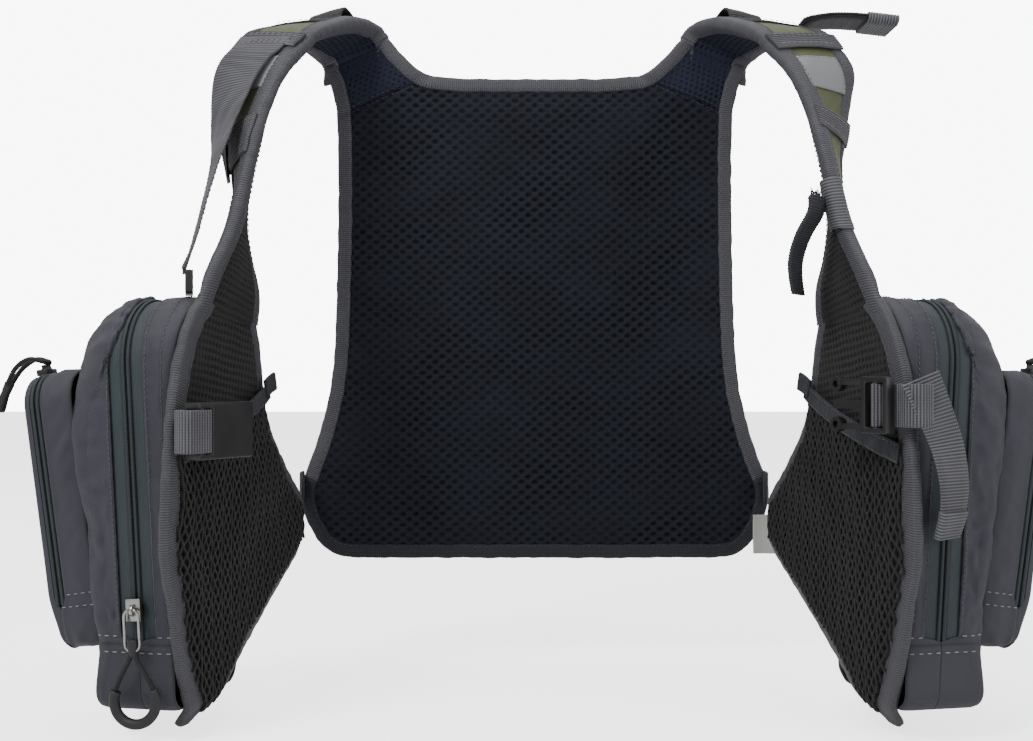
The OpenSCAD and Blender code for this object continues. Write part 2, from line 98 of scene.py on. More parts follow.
def wobble(x, y, scale, seed, octaves=3):
    """Smooth random ripple of about +-1 over two coordinates, made of seeded sine waves."""
    rng = np.random.default_rng(seed)
    x, y = np.asarray(x, float), np.asarray(y, float)
    total = np.zeros(np.broadcast(x, y).shape)
    for octave in range(octaves):
        for _ in range(5):
            angle = rng.uniform(0, math.tau)
            wave = scale / (1.7 ** octave) * rng.uniform(0.7, 1.4)
            phase = rng.uniform(0, math.tau)
            along = x * math.cos(angle) + y * math.sin(angle)
            total += np.sin(along * math.tau / wave + phase) / (5 ** 0.5 * 1.8 ** octave)
    return total / 1.6


def curve(points, t):
    """Points on the smooth curve through the given points, at t counted in whole points."""
    p = np.asarray(points, float)
    last = len(p) - 1
    i = np.minimum(np.floor(t).astype(int), last - 1)
    f = (np.asarray(t, float) - i).reshape(np.shape(t) + (1,) * (p.ndim - 1))
    p0, p1, p2, p3 = p[np.maximum(i - 1, 0)], p[i], p[i + 1], p[np.minimum(i + 2, last)]
    return 0.5 * (2 * p1 + (p2 - p0) * f + (2 * p0 - 5 * p1 + 4 * p2 - p3) * f ** 2
                  + (3 * p1 - p0 - 3 * p2 + p3) * f ** 3)


def along(path):
    """Distance of each point along a path."""
    steps = np.linalg.norm(np.diff(path, axis=0), axis=-1)
    return np.concatenate([[0], np.cumsum(steps)])


def interpolated(at, source, values):
    """Each column of values, known at source, read off at other places."""
    return np.stack([np.interp(at, source, column) for column in np.transpose(values)], axis=1)


def resample(path, spacing, closed=False):
    """The same path with evenly spaced points."""
    path = np.asarray(path, float)
    if closed:
        path = np.vstack([path, path[:1]])
    s = along(path)
    count = max(2, int(round(s[-1] / spacing)) + 1)
    even = np.linspace(0, s[-1], count)
    out = interpolated(even, s, path)
    return out[:-1] if closed else out


def rounded(path):
    """Cuts the corners of an open path twice, so that it turns into a smooth curve."""
    for _ in range(2):
        a, b = path[:-1], path[1:]
        cut = np.stack([mix(a, b, 0.25), mix(a, b, 0.75)], axis=1).reshape(-1, 2)
        path = np.vstack([path[:1], cut, path[-1:]])
    return path


def left_normals(path, closed=False):
    """Unit normals on the left of a flat path, which is inside when it runs anticlockwise."""
    t = tangents(path, closed)
    return np.stack([-t[:, 1], t[:, 0]], axis=1)


def outline_distance(x, y, outline):
    """Signed distance to a closed outline, positive inside."""
    x, y = np.asarray(x, float), np.asarray(y, float)
    best = np.full(x.shape, 1e9)
    inside = np.zeros(x.shape, bool)
    for (ax, ay), (bx, by) in zip(outline, np.roll(outline, -1, axis=0)):
        ex, ey = bx - ax, by - ay
        t = np.clip(((x - ax) * ex + (y - ay) * ey) / max(ex * ex + ey * ey, 1e-12), 0, 1)
        best = np.minimum(best, (x - ax - t * ex) ** 2 + (y - ay - t * ey) ** 2)
        if ay != by:
            crosses = (ay > y) != (by > y)
            inside ^= crosses & (x < ax + (y - ay) * ex / (by - ay))
    return np.sqrt(best) * np.where(inside, 1, -1)


# ---------------------------------------------------------------- frames of the CAD model
def side_frame(side):
    """Hinge point, forward and outward directions of a front panel, read from the CAD joints."""
    hinge = np.array(JOINTS[f"panel_{NAMES[side]}_swing"]["pos_m"], float)
    forward = -side * np.array(JOINTS[f"pouch_lid_{NAMES[side]}_open"]["axis"], float)
    outward = side * np.array([-forward[1], forward[0], 0.0])
    return hinge, forward, outward


SIDE_FRAMES = {side: side_frame(side) for side in NAMES}


def on_panel(side, u, n, h):
    """World points from panel coordinates in millimetres."""
    hinge, forward, outward = SIDE_FRAMES[side]
    u, n, h = np.broadcast_arrays(*(np.asarray(v, float) for v in (u, n, h)))
    out = hinge + u[..., None] * forward * MM + n[..., None] * outward * MM
    out[..., 2] = BASE_Z + h * MM
    return out


def from_base(x, y, h):
    """World points from X, Y and the height above the pouch bases, in millimetres."""
    x, y, h = np.broadcast_arrays(*(np.asarray(v, float) for v in (x, y, h)))
    return np.stack([x * MM, y * MM, BASE_Z + h * MM], axis=-1)


# ---------------------------------------------------------------- mesh building
def volume(verts, faces):
    """Signed volume inside a closed mesh; below zero when its faces look inwards."""
    total = 0.0
    for f in faces:
        for k in range(1, f.shape[1] - 1):
            total += np.einsum("ij,ij", verts[f[:, 0]], np.cross(verts[f[:, k]], verts[f[:, k + 1]]))
    return total / 6


def add_mesh(name, verts, faces, material, weave=None, shade=None, solid=True):
    """One object from vertex and face arrays; faces is a list of arrays with equal face sizes."""
    verts = np.ascontiguousarray(np.asarray(verts, np.float32).reshape(-1, 3))
    mesh = bpy.data.meshes.new(name)
    mesh.vertices.add(len(verts))
    mesh.vertices.foreach_set("co", verts.ravel())
    faces = [np.asarray(f, np.int32) for f in faces if len(f)]
    if solid and volume(verts.astype(float), faces) < 0:
        faces = [f[:, ::-1] for f in faces]
    loops = np.concatenate([f.ravel() for f in faces])
    sizes = np.concatenate([np.full(len(f), f.shape[1], np.int32) for f in faces])
    mesh.loops.add(len(loops))
    mesh.loops.foreach_set("vertex_index", loops)
    mesh.polygons.add(len(sizes))
    mesh.polygons.foreach_set("loop_start", np.concatenate([[0], np.cumsum(sizes)[:-1]]).astype(np.int32))
    mesh.update(calc_edges=True)
    if weave is not None:
        layer = mesh.attributes.new("weave", "FLOAT_VECTOR", "POINT")
        layer.data.foreach_set("vector", np.asarray(weave, np.float32).reshape(-1, 3).ravel())
    if shade is not None:
        layer = mesh.attributes.new("shade", "FLOAT", "POINT")
        layer.data.foreach_set("value", np.asarray(shade, np.float32).ravel())
    mesh.shade_smooth()
    mesh.validate()
    mesh.materials.append(material)
    obj = bpy.data.objects.new(name, mesh)
    bpy.context.scene.collection.objects.link(obj)
    return obj


def grid_faces(rows, cols, wrap_cols=False, flip=False):
    """Quads of a rows by cols grid of vertices."""
    i = np.arange(rows - 1)[:, None]
    j = np.arange(cols if wrap_cols else cols - 1)[None, :]
    a, b = i * cols + j, i * cols + (j + 1) % cols
    quads = np.stack([a, b, b + cols, a + cols], axis=-1).reshape(-1, 4)
    return quads[:, ::-1] if flip else quads


def grid_normals(points):
    """Unit normals of a grid of points."""
    return unit(np.cross(np.gradient(points, axis=0), np.gradient(points, axis=1)))


def sweep(name, rings, material, weave, shade=None):
    """Solid through rings of equal size; rings run along the first axis."""
    n, k = rings.shape[:2]
    ends = [np.arange(k)[None, ::-1], (n - 1) * k + np.arange(k)[None, :]]
    return add_mesh(name, rings, [grid_faces(n, k, wrap_cols=True)] + ends, material, weave, shade)


def shell(name, outer, thickness, material, weave, shade=None, flip=1, wrap=False):
    """Thin closed solid under a grid of points, its outer face; flip is -1 when the grid looks inwards."""
    rows, cols = outer.shape[:2]
    if wrap:
        padded = np.concatenate([outer[:, -1:], outer, outer[:, :1]], axis=1)
        normals = grid_normals(padded)[:, 1:-1] * flip
    else:
        normals = grid_normals(outer) * flip
    inner = outer - normals * thickness
    verts = np.concatenate([outer.reshape(-1, 3), inner.reshape(-1, 3)])
    top = grid_faces(rows, cols, wrap_cols=wrap)
    low = grid_faces(rows, cols, wrap_cols=wrap, flip=True) + rows * cols
    index = np.arange(rows * cols).reshape(rows, cols)
    if wrap:
        edges = [np.append(index[0], index[0, 0]), np.append(index[-1], index[-1, 0])[::-1]]
    else:
        edges = [np.concatenate([index[0], index[1:, -1], index[-1, -2::-1], index[-2::-1, 0]])]
    rims = []
    for edge in edges:
        a, b = edge[:-1], edge[1:]
        rims.append(np.stack([b, a, a + rows * cols, b + rows * cols], axis=-1))
    weave = np.tile(np.reshape(weave, (-1, 3)), (2, 1))
    shade = None if shade is None else np.tile(np.ravel(shade), 2)
    return add_mesh(name, verts, [top, low] + rims, material, weave, shade)


def tube(name, path, radius, look, body, replaces=(), side=(0, 0, 1), facets=12, flat=1.0):
    """Round or flattened cord along a path."""
    t = tangents(path)
    u = unit(np.cross(np.asarray(side, float), t))
    v = np.cross(t, u)
    radius = np.broadcast_to(np.asarray(radius, float), (len(path),))
    angle = np.linspace(0, math.tau, facets, endpoint=False)
    ring = np.cos(angle)[None, :, None] * u[:, None] + flat * np.sin(angle)[None, :, None] * v[:, None]
    rings = path[:, None] + radius[:, None, None] * ring
    around = (angle * radius.mean())[None, :]
    weave = np.stack(np.broadcast_arrays(along(path)[:, None], around, 0.0), axis=-1)
    finish(sweep(name, rings, MAT[look], weave), body, replaces)


def tangents(path, closed=False):
    """Unit directions along a path."""
    if closed:
        return unit(np.roll(path, -1, axis=0) - np.roll(path, 1, axis=0))
    return unit(np.gradient(path, axis=0))


def band(name, path, across, out, width, thick, look, body, replaces=(), ribs=0.0, pitch=2.0 * MM):
    """Flat webbing swept along a path, with woven ribs across it. The path is the middle of its
    inner face, and across and out are unit directions."""
    half = np.broadcast_to(np.asarray(width, float), (len(path),))[:, None] / 2
    r = thick * 0.35
    inner = [(-1, 0, r), (-1, r, 0), (-0.5, 0, 0), (0, 0, 0), (0.5, 0, 0), (1, -r, 0), (1, 0, r)]
    length = along(path)
    ripple = ribs * np.sin(length * math.tau / pitch)[:, None]
    rings, weave = [], []
    for up, places in ((0, inner), (1, inner[::-1])):
        for side, dw, dt in places:
            height = up * thick + dt * (1 - 2 * up) + ripple * (2 * up - 1)
            rings.append(path + across * (side * half + dw) + out * height)
            row = np.broadcast_arrays(length, side * 0.5 * float(np.mean(width)), up * thick)
            weave.append(np.stack(row, axis=-1))
    piece = sweep(name, np.stack(rings, axis=1), MAT[look], np.stack(weave, axis=1))
    finish(piece, body, replaces)


def stitches(name, rows, material, length=3.0 * MM, gap=1.1 * MM, width=0.55 * MM):
    """Little thread stitches along rows of (path, outward normals)."""
    verts, quads, tris, count = [], [], [], 0
    for path, normals in rows:
        s = along(path)
        number = int(s[-1] / (length + gap))
        if number < 1:
            continue
        starts = np.arange(number) * (length + gap) + gap
        ends = np.minimum(starts + length, s[-1])
        a, b = interpolated(starts, s, path), interpolated(ends, s, path)
        out = unit(interpolated((starts + ends) / 2, s, normals))
        run = b - a
        cross = unit(np.cross(run, out)) * width / 2
        up = out * width * 0.5
        base = out * 0.12 * MM
        ring = [cross, up, -cross, -up]
        parts = [a + base - up * 0.4]
        parts += [a + run * 0.22 + base + r for r in ring]
        parts += [a + run * 0.78 + base + r for r in ring]
        parts += [b + base - up * 0.4]
        verts.append(np.stack(parts, axis=1).reshape(-1, 3))
        first = count + np.arange(number)[:, None] * 10
        for j in range(4):
            k = (j + 1) % 4
            quads.append(np.concatenate([first + 1 + j, first + 1 + k, first + 5 + k, first + 5 + j], axis=1))
            tris.append(np.concatenate([first, first + 1 + k, first + 1 + j], axis=1))
            tris.append(np.concatenate([first + 9, first + 5 + j, first + 5 + k], axis=1))
        count += number * 10
    verts = np.concatenate(verts)
    return add_mesh(name, verts, [np.concatenate(quads), np.concatenate(tris)], material, weave=verts)


def lattice(name, bounds, step, keep, place, material, pattern=None, flip=False):
    """Sheet cut from an even lattice: keep says which points stay, place lifts them to the world."""
    (x0, x1), (y0, y1) = bounds
    x = np.arange(x0, x1 + step, step)
    y = np.arange(y0, y1 + step, step)
    gx, gy = np.meshgrid(x, y)
    mask = keep(gx, gy)
    depth, shade = pattern(gx, gy) if pattern else (np.zeros(gx.shape), np.zeros(gx.shape))
    points = place(gx, gy, depth)
    quads = grid_faces(*gx.shape, flip=flip)
    quads = quads[mask.ravel()[quads].all(axis=1)]
    used = np.unique(quads)
    index = np.full(gx.size, -1)
    index[used] = np.arange(len(used))
    weave = np.stack([gx * MM, gy * MM, np.zeros(gx.shape)], axis=-1).reshape(-1, 3)[used]
    points, shade = points.reshape(-1, 3)[used], shade.ravel()[used]
    return add_mesh(name, points, [index[quads]], material, weave, shade, solid=False)


# ---------------------------------------------------------------- materials
class Nodes:
    """A short way to write a node material."""

    def __init__(self, name):
        self.material = bpy.data.materials.new(name)
        self.material.use_nodes = True
        self.tree = self.material.node_tree
        self.shader = self.tree.nodes["Principled BSDF"]
        self.split = None

    def node(self, kind, **values):
        node = self.tree.nodes.new(kind)
        for key, value in values.items():
            setattr(node, key, value)
        return node

    def link(self, source, target):
        if isinstance(source, (int, float, tuple)):
            target.default_value = source
        else:
            self.tree.links.new(source, target)

    def math(self, operation, a, b=0.0, c=0.0):
        node = self.node("ShaderNodeMath", operation=operation)
        for source, socket in zip((a, b, c), node.inputs):
            self.link(source, socket)
        return node.outputs[0]

    def weave(self, axis):
        """One of the fabric coordinates, in metres."""
        if self.split is None:
            attribute = self.node("ShaderNodeAttribute", attribute_name="weave")
            self.vector = attribute.outputs["Vector"]
            self.split = self.node("ShaderNodeSeparateXYZ")
            self.link(self.vector, self.split.inputs[0])
        return self.split.outputs[axis]

    def shade(self):
        return self.node("ShaderNodeAttribute", attribute_name="shade").outputs["Fac"]

    def wave(self, coordinate, pitch, phase=0.0):
        """0 to 1 sine wave of a coordinate."""
        turned = self.math("MULTIPLY_ADD", coordinate, math.tau / pitch, phase)
        return self.math("MULTIPLY_ADD", self.math("SINE", turned), 0.5, 0.5)

    def noise(self, scale, detail=3.0, rough=0.55, vector=None):
        node = self.node("ShaderNodeTexNoise")
        node.inputs["Scale"].default_value = scale
        node.inputs["Detail"].default_value = detail
        node.inputs["Roughness"].default_value = rough
        if vector is None:
            self.weave(0)
            vector = self.vector
        self.link(vector, node.inputs["Vector"])
        return node.outputs["Fac"]

    def ramp(self, factor, stops):
        node = self.node("ShaderNodeValToRGB")
        ramp = node.color_ramp
        while len(ramp.elements) < len(stops):
            ramp.elements.new(0.5)
        for element, (place, color) in zip(ramp.elements, stops):
            element.position = place
            element.color = (*color, 1) if len(color) == 3 else color
        self.link(factor, node.inputs["Fac"])
        return node.outputs["Color"]

    def mix(self, factor, a, b, blend="MIX"):
        node = self.node("ShaderNodeMix", data_type="RGBA", blend_type=blend)
        self.link(factor, node.inputs["Factor"])
        for source, key in ((a, "A"), (b, "B")):
            socket = [s for s in node.inputs if s.name == key and s.type == "RGBA"][0]
            if isinstance(source, tuple):
                socket.default_value = (*source, 1) if len(source) == 3 else source
            else:
                self.tree.links.new(source, socket)
        return [s for s in node.outputs if s.type == "RGBA"][0]

    def bump(self, height, distance, strength=1.0):
        node = self.node("ShaderNodeBump")
        node.inputs["Distance"].default_value = distance
        node.inputs["Strength"].default_value = strength
        self.link(height, node.inputs["Height"])
        if self.shader.inputs["Normal"].is_linked:
            self.link(self.shader.inputs["Normal"].links[0].from_socket, node.inputs["Normal"])
        self.link(node.outputs[0], self.shader.inputs["Normal"])

    def set(self, color=None, rough=None, metal=None, sheen=None, specular=None):
        for value, key in ((color, "Base Color"), (rough, "Roughness"), (metal, "Metallic"),
                           (sheen, "Sheen Weight"), (specular, "Specular IOR Level")):
            if value is None:
                continue
            if isinstance(value, tuple) and len(value) == 3:
                value = (*value, 1)
            self.link(value, self.shader.inputs[key])
        return self.material


def scaled(color, k):
    return tuple(c * k for c in color)


def twill(name, color, pitch=1.25 * MM, rough=(0.5, 0.7), sheen=0.06):
    """Coated polyester: fine diagonal grain both ways, broad uneven dye and a soft sheen."""
    m = Nodes(name)
    a, b, c = m.weave(0), m.weave(1), m.weave(2)
    total = m.math("ADD", m.math("ADD", a, b), c)
    other = m.math("SUBTRACT", m.math("ADD", a, b), c)
    first, second = m.wave(total, pitch), m.wave(other, pitch * 0.93)
    grain = m.math("MULTIPLY_ADD", first, 0.65, m.math("MULTIPLY", second, 0.35))
    broad = m.noise(14, 4)
    fibre = m.noise(900, 2)
    base = m.ramp(grain, [(0.1, scaled(color, 0.62)), (0.9, scaled(color, 1.32))])
    tint = m.ramp(broad, [(0.3, (0.82, 0.82, 0.86)), (0.7, (1.12, 1.12, 1.14))])
    m.bump(m.math("MULTIPLY_ADD", fibre, 0.25, grain), 0.18 * MM, 0.8)
    roughness = m.math("MULTIPLY_ADD", broad, rough[1] - rough[0], rough[0])
    # The shade attribute darkens the cloth towards a fifth of its colour: painted shade in seams, creases and
    # tucks, and also the pouch base band's own darker fabric.
    shaded = m.mix(m.shade(), m.mix(1.0, base, tint, "MULTIPLY"), scaled(color, 0.2))
    return m.set(color=shaded, rough=roughness, sheen=sheen, specular=0.3)


def ribbed(name, color, pitch=1.9 * MM, warp=1.5 * MM, contrast=0.55, depth=0.3 * MM, rough=0.62):
    """Webbing or grosgrain: raised weft ribs across the length, broken by warp threads."""
    m = Nodes(name)
    ribs = m.wave(m.weave(0), pitch)
    threads = m.wave(m.weave(1), warp)
    height = m.math("MULTIPLY", ribs, m.math("MULTIPLY_ADD", threads, 0.35, 0.65))
    broad = m.noise(30, 3)
    fibre = m.noise(1500, 2)
    low, high = scaled(color, 1 - contrast), scaled(color, 1 + contrast * 0.7)
    base = m.ramp(height, [(0.05, low), (0.85, high)])
    tint = m.ramp(broad, [(0.3, (0.86, 0.86, 0.88)), (0.7, (1.1, 1.1, 1.1))])
    fuzz = m.ramp(fibre, [(0.3, (0.85, 0.85, 0.85)), (0.75, (1.2, 1.2, 1.2))])
    m.bump(m.math("MULTIPLY_ADD", fibre, 0.2, height), depth, 0.9)
    color_out = m.mix(1.0, m.mix(1.0, base, tint, "MULTIPLY"), fuzz, "MULTIPLY")
    return m.set(color=color_out, rough=rough, sheen=0.05, specular=0.25)


def knit(name, color, pit_shade_color, pitch=0.9 * MM, rough=0.85):
    """Spacer mesh: fuzzy knit between open pits, which the shade attribute darkens with painted shade."""
    m = Nodes(name)
    loops = m.math("MULTIPLY", m.wave(m.weave(0), pitch), m.wave(m.weave(1), pitch * 1.15))
    fibre = m.noise(1300, 3, 0.7)
    broad = m.noise(22, 3)
    base = m.ramp(m.math("MULTIPLY_ADD", fibre, 0.6, m.math("MULTIPLY", loops, 0.4)),
                  [(0.2, scaled(color, 0.5)), (0.8, scaled(color, 1.7))])
    tint = m.ramp(broad, [(0.3, (0.8, 0.8, 0.8)), (0.7, (1.2, 1.2, 1.2))])
    lit = m.mix(1.0, base, tint, "MULTIPLY")
    m.bump(m.math("ADD", fibre, loops), 0.25 * MM, 0.8)
    # Painted shade in the pits: the shade attribute mixes in the dark pit colour.
    return m.set(color=m.mix(m.shade(), lit, pit_shade_color), rough=rough, sheen=0.04, specular=0.2)


def zip_tape_material(name, color):
    """Woven tape: fine lines along it and small ribs across."""
    m = Nodes(name)
    lines = m.wave(m.weave(1), 1.1 * MM)
    ribs = m.wave(m.weave(0), 0.9 * MM)
    height = m.math("MULTIPLY_ADD", lines, 0.6, m.math("MULTIPLY", ribs, 0.4))
    base = m.ramp(height, [(0.1, scaled(color, 0.68)), (0.9, scaled(color, 1.25))])
    broad = m.noise(25, 3)
    tint = m.ramp(broad, [(0.3, (0.88, 0.88, 0.9)), (0.7, (1.1, 1.12, 1.12))])
    m.bump(height, 0.16 * MM, 0.8)
    # The shade attribute darkens the tape: painted shade in the zip's middle, under the folded cloth edges,
    # beside the coil and between its teeth.
    shaded = m.mix(m.shade(), m.mix(1.0, base, tint, "MULTIPLY"), scaled(color, 0.12))
    return m.set(color=shaded, rough=0.6, sheen=0.05, specular=0.28)


def moulded(name, color, rough=0.42):
    """Moulded plastic: fine spark texture, faint flow and a paler colour on sharp edges."""
    m = Nodes(name)
    position = m.node("ShaderNodeNewGeometry")
    grain = m.noise(2200, 2, vector=position.outputs["Position"])
    flow = m.noise(60, 3, vector=position.outputs["Position"])
    edge = m.math("MULTIPLY_ADD", position.outputs["Pointiness"], 6.0, -2.8)
    base = m.ramp(flow, [(0.3, scaled(color, 0.85)), (0.7, scaled(color, 1.25))])
    # Paler colour where pointiness marks sharp convex edges.
    pale_edges = m.mix(m.math("MINIMUM", m.math("MAXIMUM", edge, 0.0), 0.5), base, scaled(color, 3.0))
    m.bump(grain, 0.05 * MM, 0.6)
    return m.set(color=pale_edges, rough=m.math("MULTIPLY_ADD", flow, 0.2, rough - 0.1), specular=0.35)


def metal(name, color, rough=0.24):
    """Plated metal with faint scratches."""
    m = Nodes(name)
    position = m.node("ShaderNodeNewGeometry")
    scratch = m.noise(900, 4, 0.7, vector=position.outputs["Position"])
    cloud = m.noise(90, 3, vector=position.outputs["Position"])
    base = m.ramp(cloud, [(0.3, scaled(color, 0.8)), (0.7, scaled(color, 1.1))])
    m.bump(scratch, 0.02 * MM, 0.5)
    return m.set(color=base, rough=m.math("MULTIPLY_ADD", scratch, 0.2, rough - 0.05), metal=1.0)


def reflective_tape(name, color):
    m = Nodes(name)
    grid = m.math("MULTIPLY", m.wave(m.weave(0), 1.0 * MM), m.wave(m.weave(1), 1.0 * MM))
    broad = m.noise(30, 3)
    base = m.ramp(m.math("MULTIPLY_ADD", grid, 0.3, m.math("MULTIPLY", broad, 0.7)),
                  [(0.25, scaled(color, 0.86)), (0.75, scaled(color, 1.08))])
    m.bump(grid, 0.05 * MM, 0.5)
    return m.set(color=base, rough=0.38, specular=0.6)


def thread_material(name, color):
    m = Nodes(name)
    twist = m.noise(2500, 2)
    base = m.ramp(twist, [(0.3, scaled(color, 0.7)), (0.7, scaled(color, 1.2))])
    m.bump(twist, 0.1 * MM, 0.6)
    return m.set(color=base, rough=0.6, sheen=0.05)


def braid(name, color):
    """Braided cord: strands crossing around it."""
    m = Nodes(name)
    a = m.wave(m.math("ADD", m.weave(0), m.weave(1)), 1.3 * MM)
    b = m.wave(m.math("SUBTRACT", m.weave(0), m.weave(1)), 1.3 * MM)
    height = m.math("MAXIMUM", a, b)
    base = m.ramp(height, [(0.3, scaled(color, 0.5)), (0.95, scaled(color, 2.0))])
    m.bump(height, 0.2 * MM, 0.8)
    return m.set(color=base, rough=0.6, sheen=0.03, specular=0.25)


SLATE = (0.027, 0.0275, 0.037)
BINDING_RIBS = dict(pitch=1.5 * MM, warp=2.2 * MM, contrast=0.5)
MAT = {
    # The second colour of each knit is the painted shade in its pits.
    "mesh_navy": knit("navy_honeycomb_mesh", (0.0075, 0.0085, 0.0165), (0.0012, 0.0013, 0.0025)),
    "mesh_yoke": knit("navy_yoke_mesh", (0.010, 0.0125, 0.028), (0.002, 0.0024, 0.006)),
    "mesh_charcoal": knit("charcoal_air_mesh", (0.0150, 0.0152, 0.0150), (0.0018, 0.0018, 0.002)),
    "net": knit("stretch_net", (0.017, 0.017, 0.0185), (0.008, 0.008, 0.009), pitch=1.4 * MM, rough=0.8),
    "twill_slate": twill("slate_twill", SLATE),
    "twill_olive": twill("olive_nylon", (0.064, 0.072, 0.031), pitch=0.8 * MM, rough=(0.45, 0.65)),
    "binding_grey": ribbed("grey_binding", (0.050, 0.050, 0.058), **BINDING_RIBS),
    "binding_dark": ribbed("dark_binding", (0.012, 0.013, 0.019), **BINDING_RIBS),
    "webbing_grey": ribbed("grey_webbing", (0.068, 0.068, 0.077), pitch=2.0 * MM, warp=1.7 * MM,
                           contrast=0.62),
    "webbing_dark": ribbed("dark_webbing", (0.020, 0.021, 0.027), pitch=1.6 * MM, warp=1.4 * MM),
    "webbing_black": ribbed("black_webbing", (0.006, 0.0065, 0.010), pitch=1.6 * MM, warp=1.4 * MM),
    "zip_tape": zip_tape_material("teal_zip_tape", (0.021, 0.030, 0.034)),
    "reflective": reflective_tape("reflective_tape", (0.150, 0.153, 0.158)),
    "patch_dark": knit("dark_patch", (0.022, 0.022, 0.0235), (0.01, 0.01, 0.01)),
    "thread_light": thread_material("light_thread", (0.19, 0.19, 0.205)),
    "thread_grey": thread_material("grey_thread", (0.060, 0.060, 0.068)),
    "thread_dark": thread_material("dark_thread", (0.014, 0.015, 0.021)),
    "label": reflective_tape("blank_label", (0.30, 0.30, 0.285)),
    "plastic_black": moulded("black_plastic", (0.0060, 0.0060, 0.0066)),
    "metal_nickel": metal("nickel_plate", (0.30, 0.295, 0.28)),
    "cord_black": braid("black_cord", (0.006, 0.006, 0.0075)),
    "rubber_black": moulded("black_rubber", (0.0065, 0.0065, 0.0075), rough=0.55),
}


def finish(obj, body=None, replaces=(), blend=None):
    """Body and the CAD nodes that a finished piece stands for; a piece given a blend is fixed where it
    stands, on no body.
    """
    if blend:
        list(blend[:2])
        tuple(blend[2])
        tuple(blend[3])
        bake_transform(obj)
    else:
        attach(obj, body)
    if replaces:
        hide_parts(*replaces)
    return obj


def sew(name, rows, thread, body=None, blend=None, **sizes):
    """Stitches along rows, on a body, or fixed where they stand when given a blend."""
    return finish(stitches(name, rows, MAT[thread], **sizes), body, blend=blend)


# ---------------------------------------------------------------- back panel
BACK_HALF = [(0, 61), (138, 61), (152, 63), (164, 72), (172, 86), (177, 101), (178, 112), (175, 122),
             (164, 150), (153, 195), (150, 256), (149, 331), (149, 392), (152, 414), (160, 432),
             (112, 455), (100, 441), (88, 430), (74, 425), (0, 424)]
BACK_OUTLINE = np.array(BACK_HALF + [(-x, h) for x, h in BACK_HALF[-2:0:-1]], float)
YOKE_SIDE, YOKE_NECK = (150, 396), (80, 426)
MESH_HOLES = dict(pitch=(10.0, 3.95), radii=(2.45, 1.75), deep=1.9)
YOKE_HOLES = dict(pitch=(5.2, 3.2), radii=(1.3, 1.0), deep=1.2)
EDGE_FADE = 30.0


def above_yoke(x, h):
    """Height above the sloping yoke seam."""
    slope = (YOKE_NECK[1] - YOKE_SIDE[1]) / (YOKE_NECK[0] - YOKE_SIDE[0])
    return h - YOKE_SIDE[1] - slope * (np.abs(x) - YOKE_SIDE[0])


def holes(pitch, radii, deep, turn=0.0, seed=3):
    """Pattern of staggered oval pits: depth in millimetres and painted shade, for a lattice."""
    def pattern(x, y):
        c, s = math.cos(turn), math.sin(turn)
        x, y = x * c + y * s, y * c - x * s
        x = x + 0.35 * wobble(x, y, 37, seed)
        y = y + 0.35 * wobble(x, y, 31, seed + 1)
        best = np.full(x.shape, 1e9)
        for half in (0.0, 0.5):
            dx = ((x / pitch[0] + half + 0.5) % 1 - 0.5) * pitch[0] / radii[0]
            dy = ((y / (2 * pitch[1]) + half + 0.5) % 1 - 0.5) * 2 * pitch[1] / radii[1]
            best = np.minimum(best, dx * dx + dy * dy)
        hole = 1 - smooth(np.sqrt(best), 0.6, 1.25)
        strength = np.clip(0.72 + 0.3 * wobble(x, y, 75, seed + 2), 0.25, 1)
        # The second value is painted shade in each pit, darker where the pit is deeper.
        return hole * deep * strength, hole * (0.45 + 0.55 * strength)
    return pattern


def back_front(x, h):
    """Y of the padded front face."""
    d = outline_distance(x, h, BACK_OUTLINE)
    seam = np.exp(-(above_yoke(x, h) / 2.5) ** 2) * (np.abs(x) > 74)
    return 4.6 * (1 - smooth(d, 0, EDGE_FADE)) + 0.5 * (1 + wobble(x, h, 110, 11, 2)) + 1.6 * seam


def back_rear(x, h):
    """Y of the rear face."""
    d = outline_distance(x, h, BACK_OUTLINE)
    return 20.0 - 5.0 * (1 - smooth(d, 0, EDGE_FADE)) - 0.7 * (1 + wobble(x, h, 90, 12, 3))


def back_lattice(name, material, region, rear=False, step=1.05, pattern=None):
    surface = back_rear if rear else back_front
    sign = -1 if rear else 1

    def keep(x, h):
        return (outline_distance(x, h, BACK_OUTLINE) > 3) & region(x, h)

    def place(x, h, depth):
        return from_base(x, surface(x, h) + sign * depth, h)

    return lattice(name, ((-180, 180), (58, 458)), step, keep, place, material, pattern, flip=rear)


def edge_tape(path, inward, front, rear, width):
    """C-shaped tape folded over an edge: rings of flat coordinates with a depth, and their weave.
    front and rear give the depth of the two faces along a path."""
    thick = 0.9
    side = [(width, 0.4), (width - 1, -thick), (6, -thick * 1.25), (2.4, -thick), (0.3, -thick * 0.4)]
    places = [(*p, 0) for p in side] + [(-1.0, 0.3, 0.5)] + [(*p, 1) for p in side[::-1]]
    rings, weave = [], []
    for d, lift, face in places:
        flat = path + inward * d
        low, high = front(flat) + lift, rear(flat) - lift
        rings.append(np.column_stack([flat, mix(low, high, face)]))
        fabric = np.broadcast_arrays(along(path), d if face < 1 else -d, 0.0)
        weave.append(np.column_stack(fabric) * MM)
    return np.stack(rings, axis=1), np.stack(weave, axis=1)


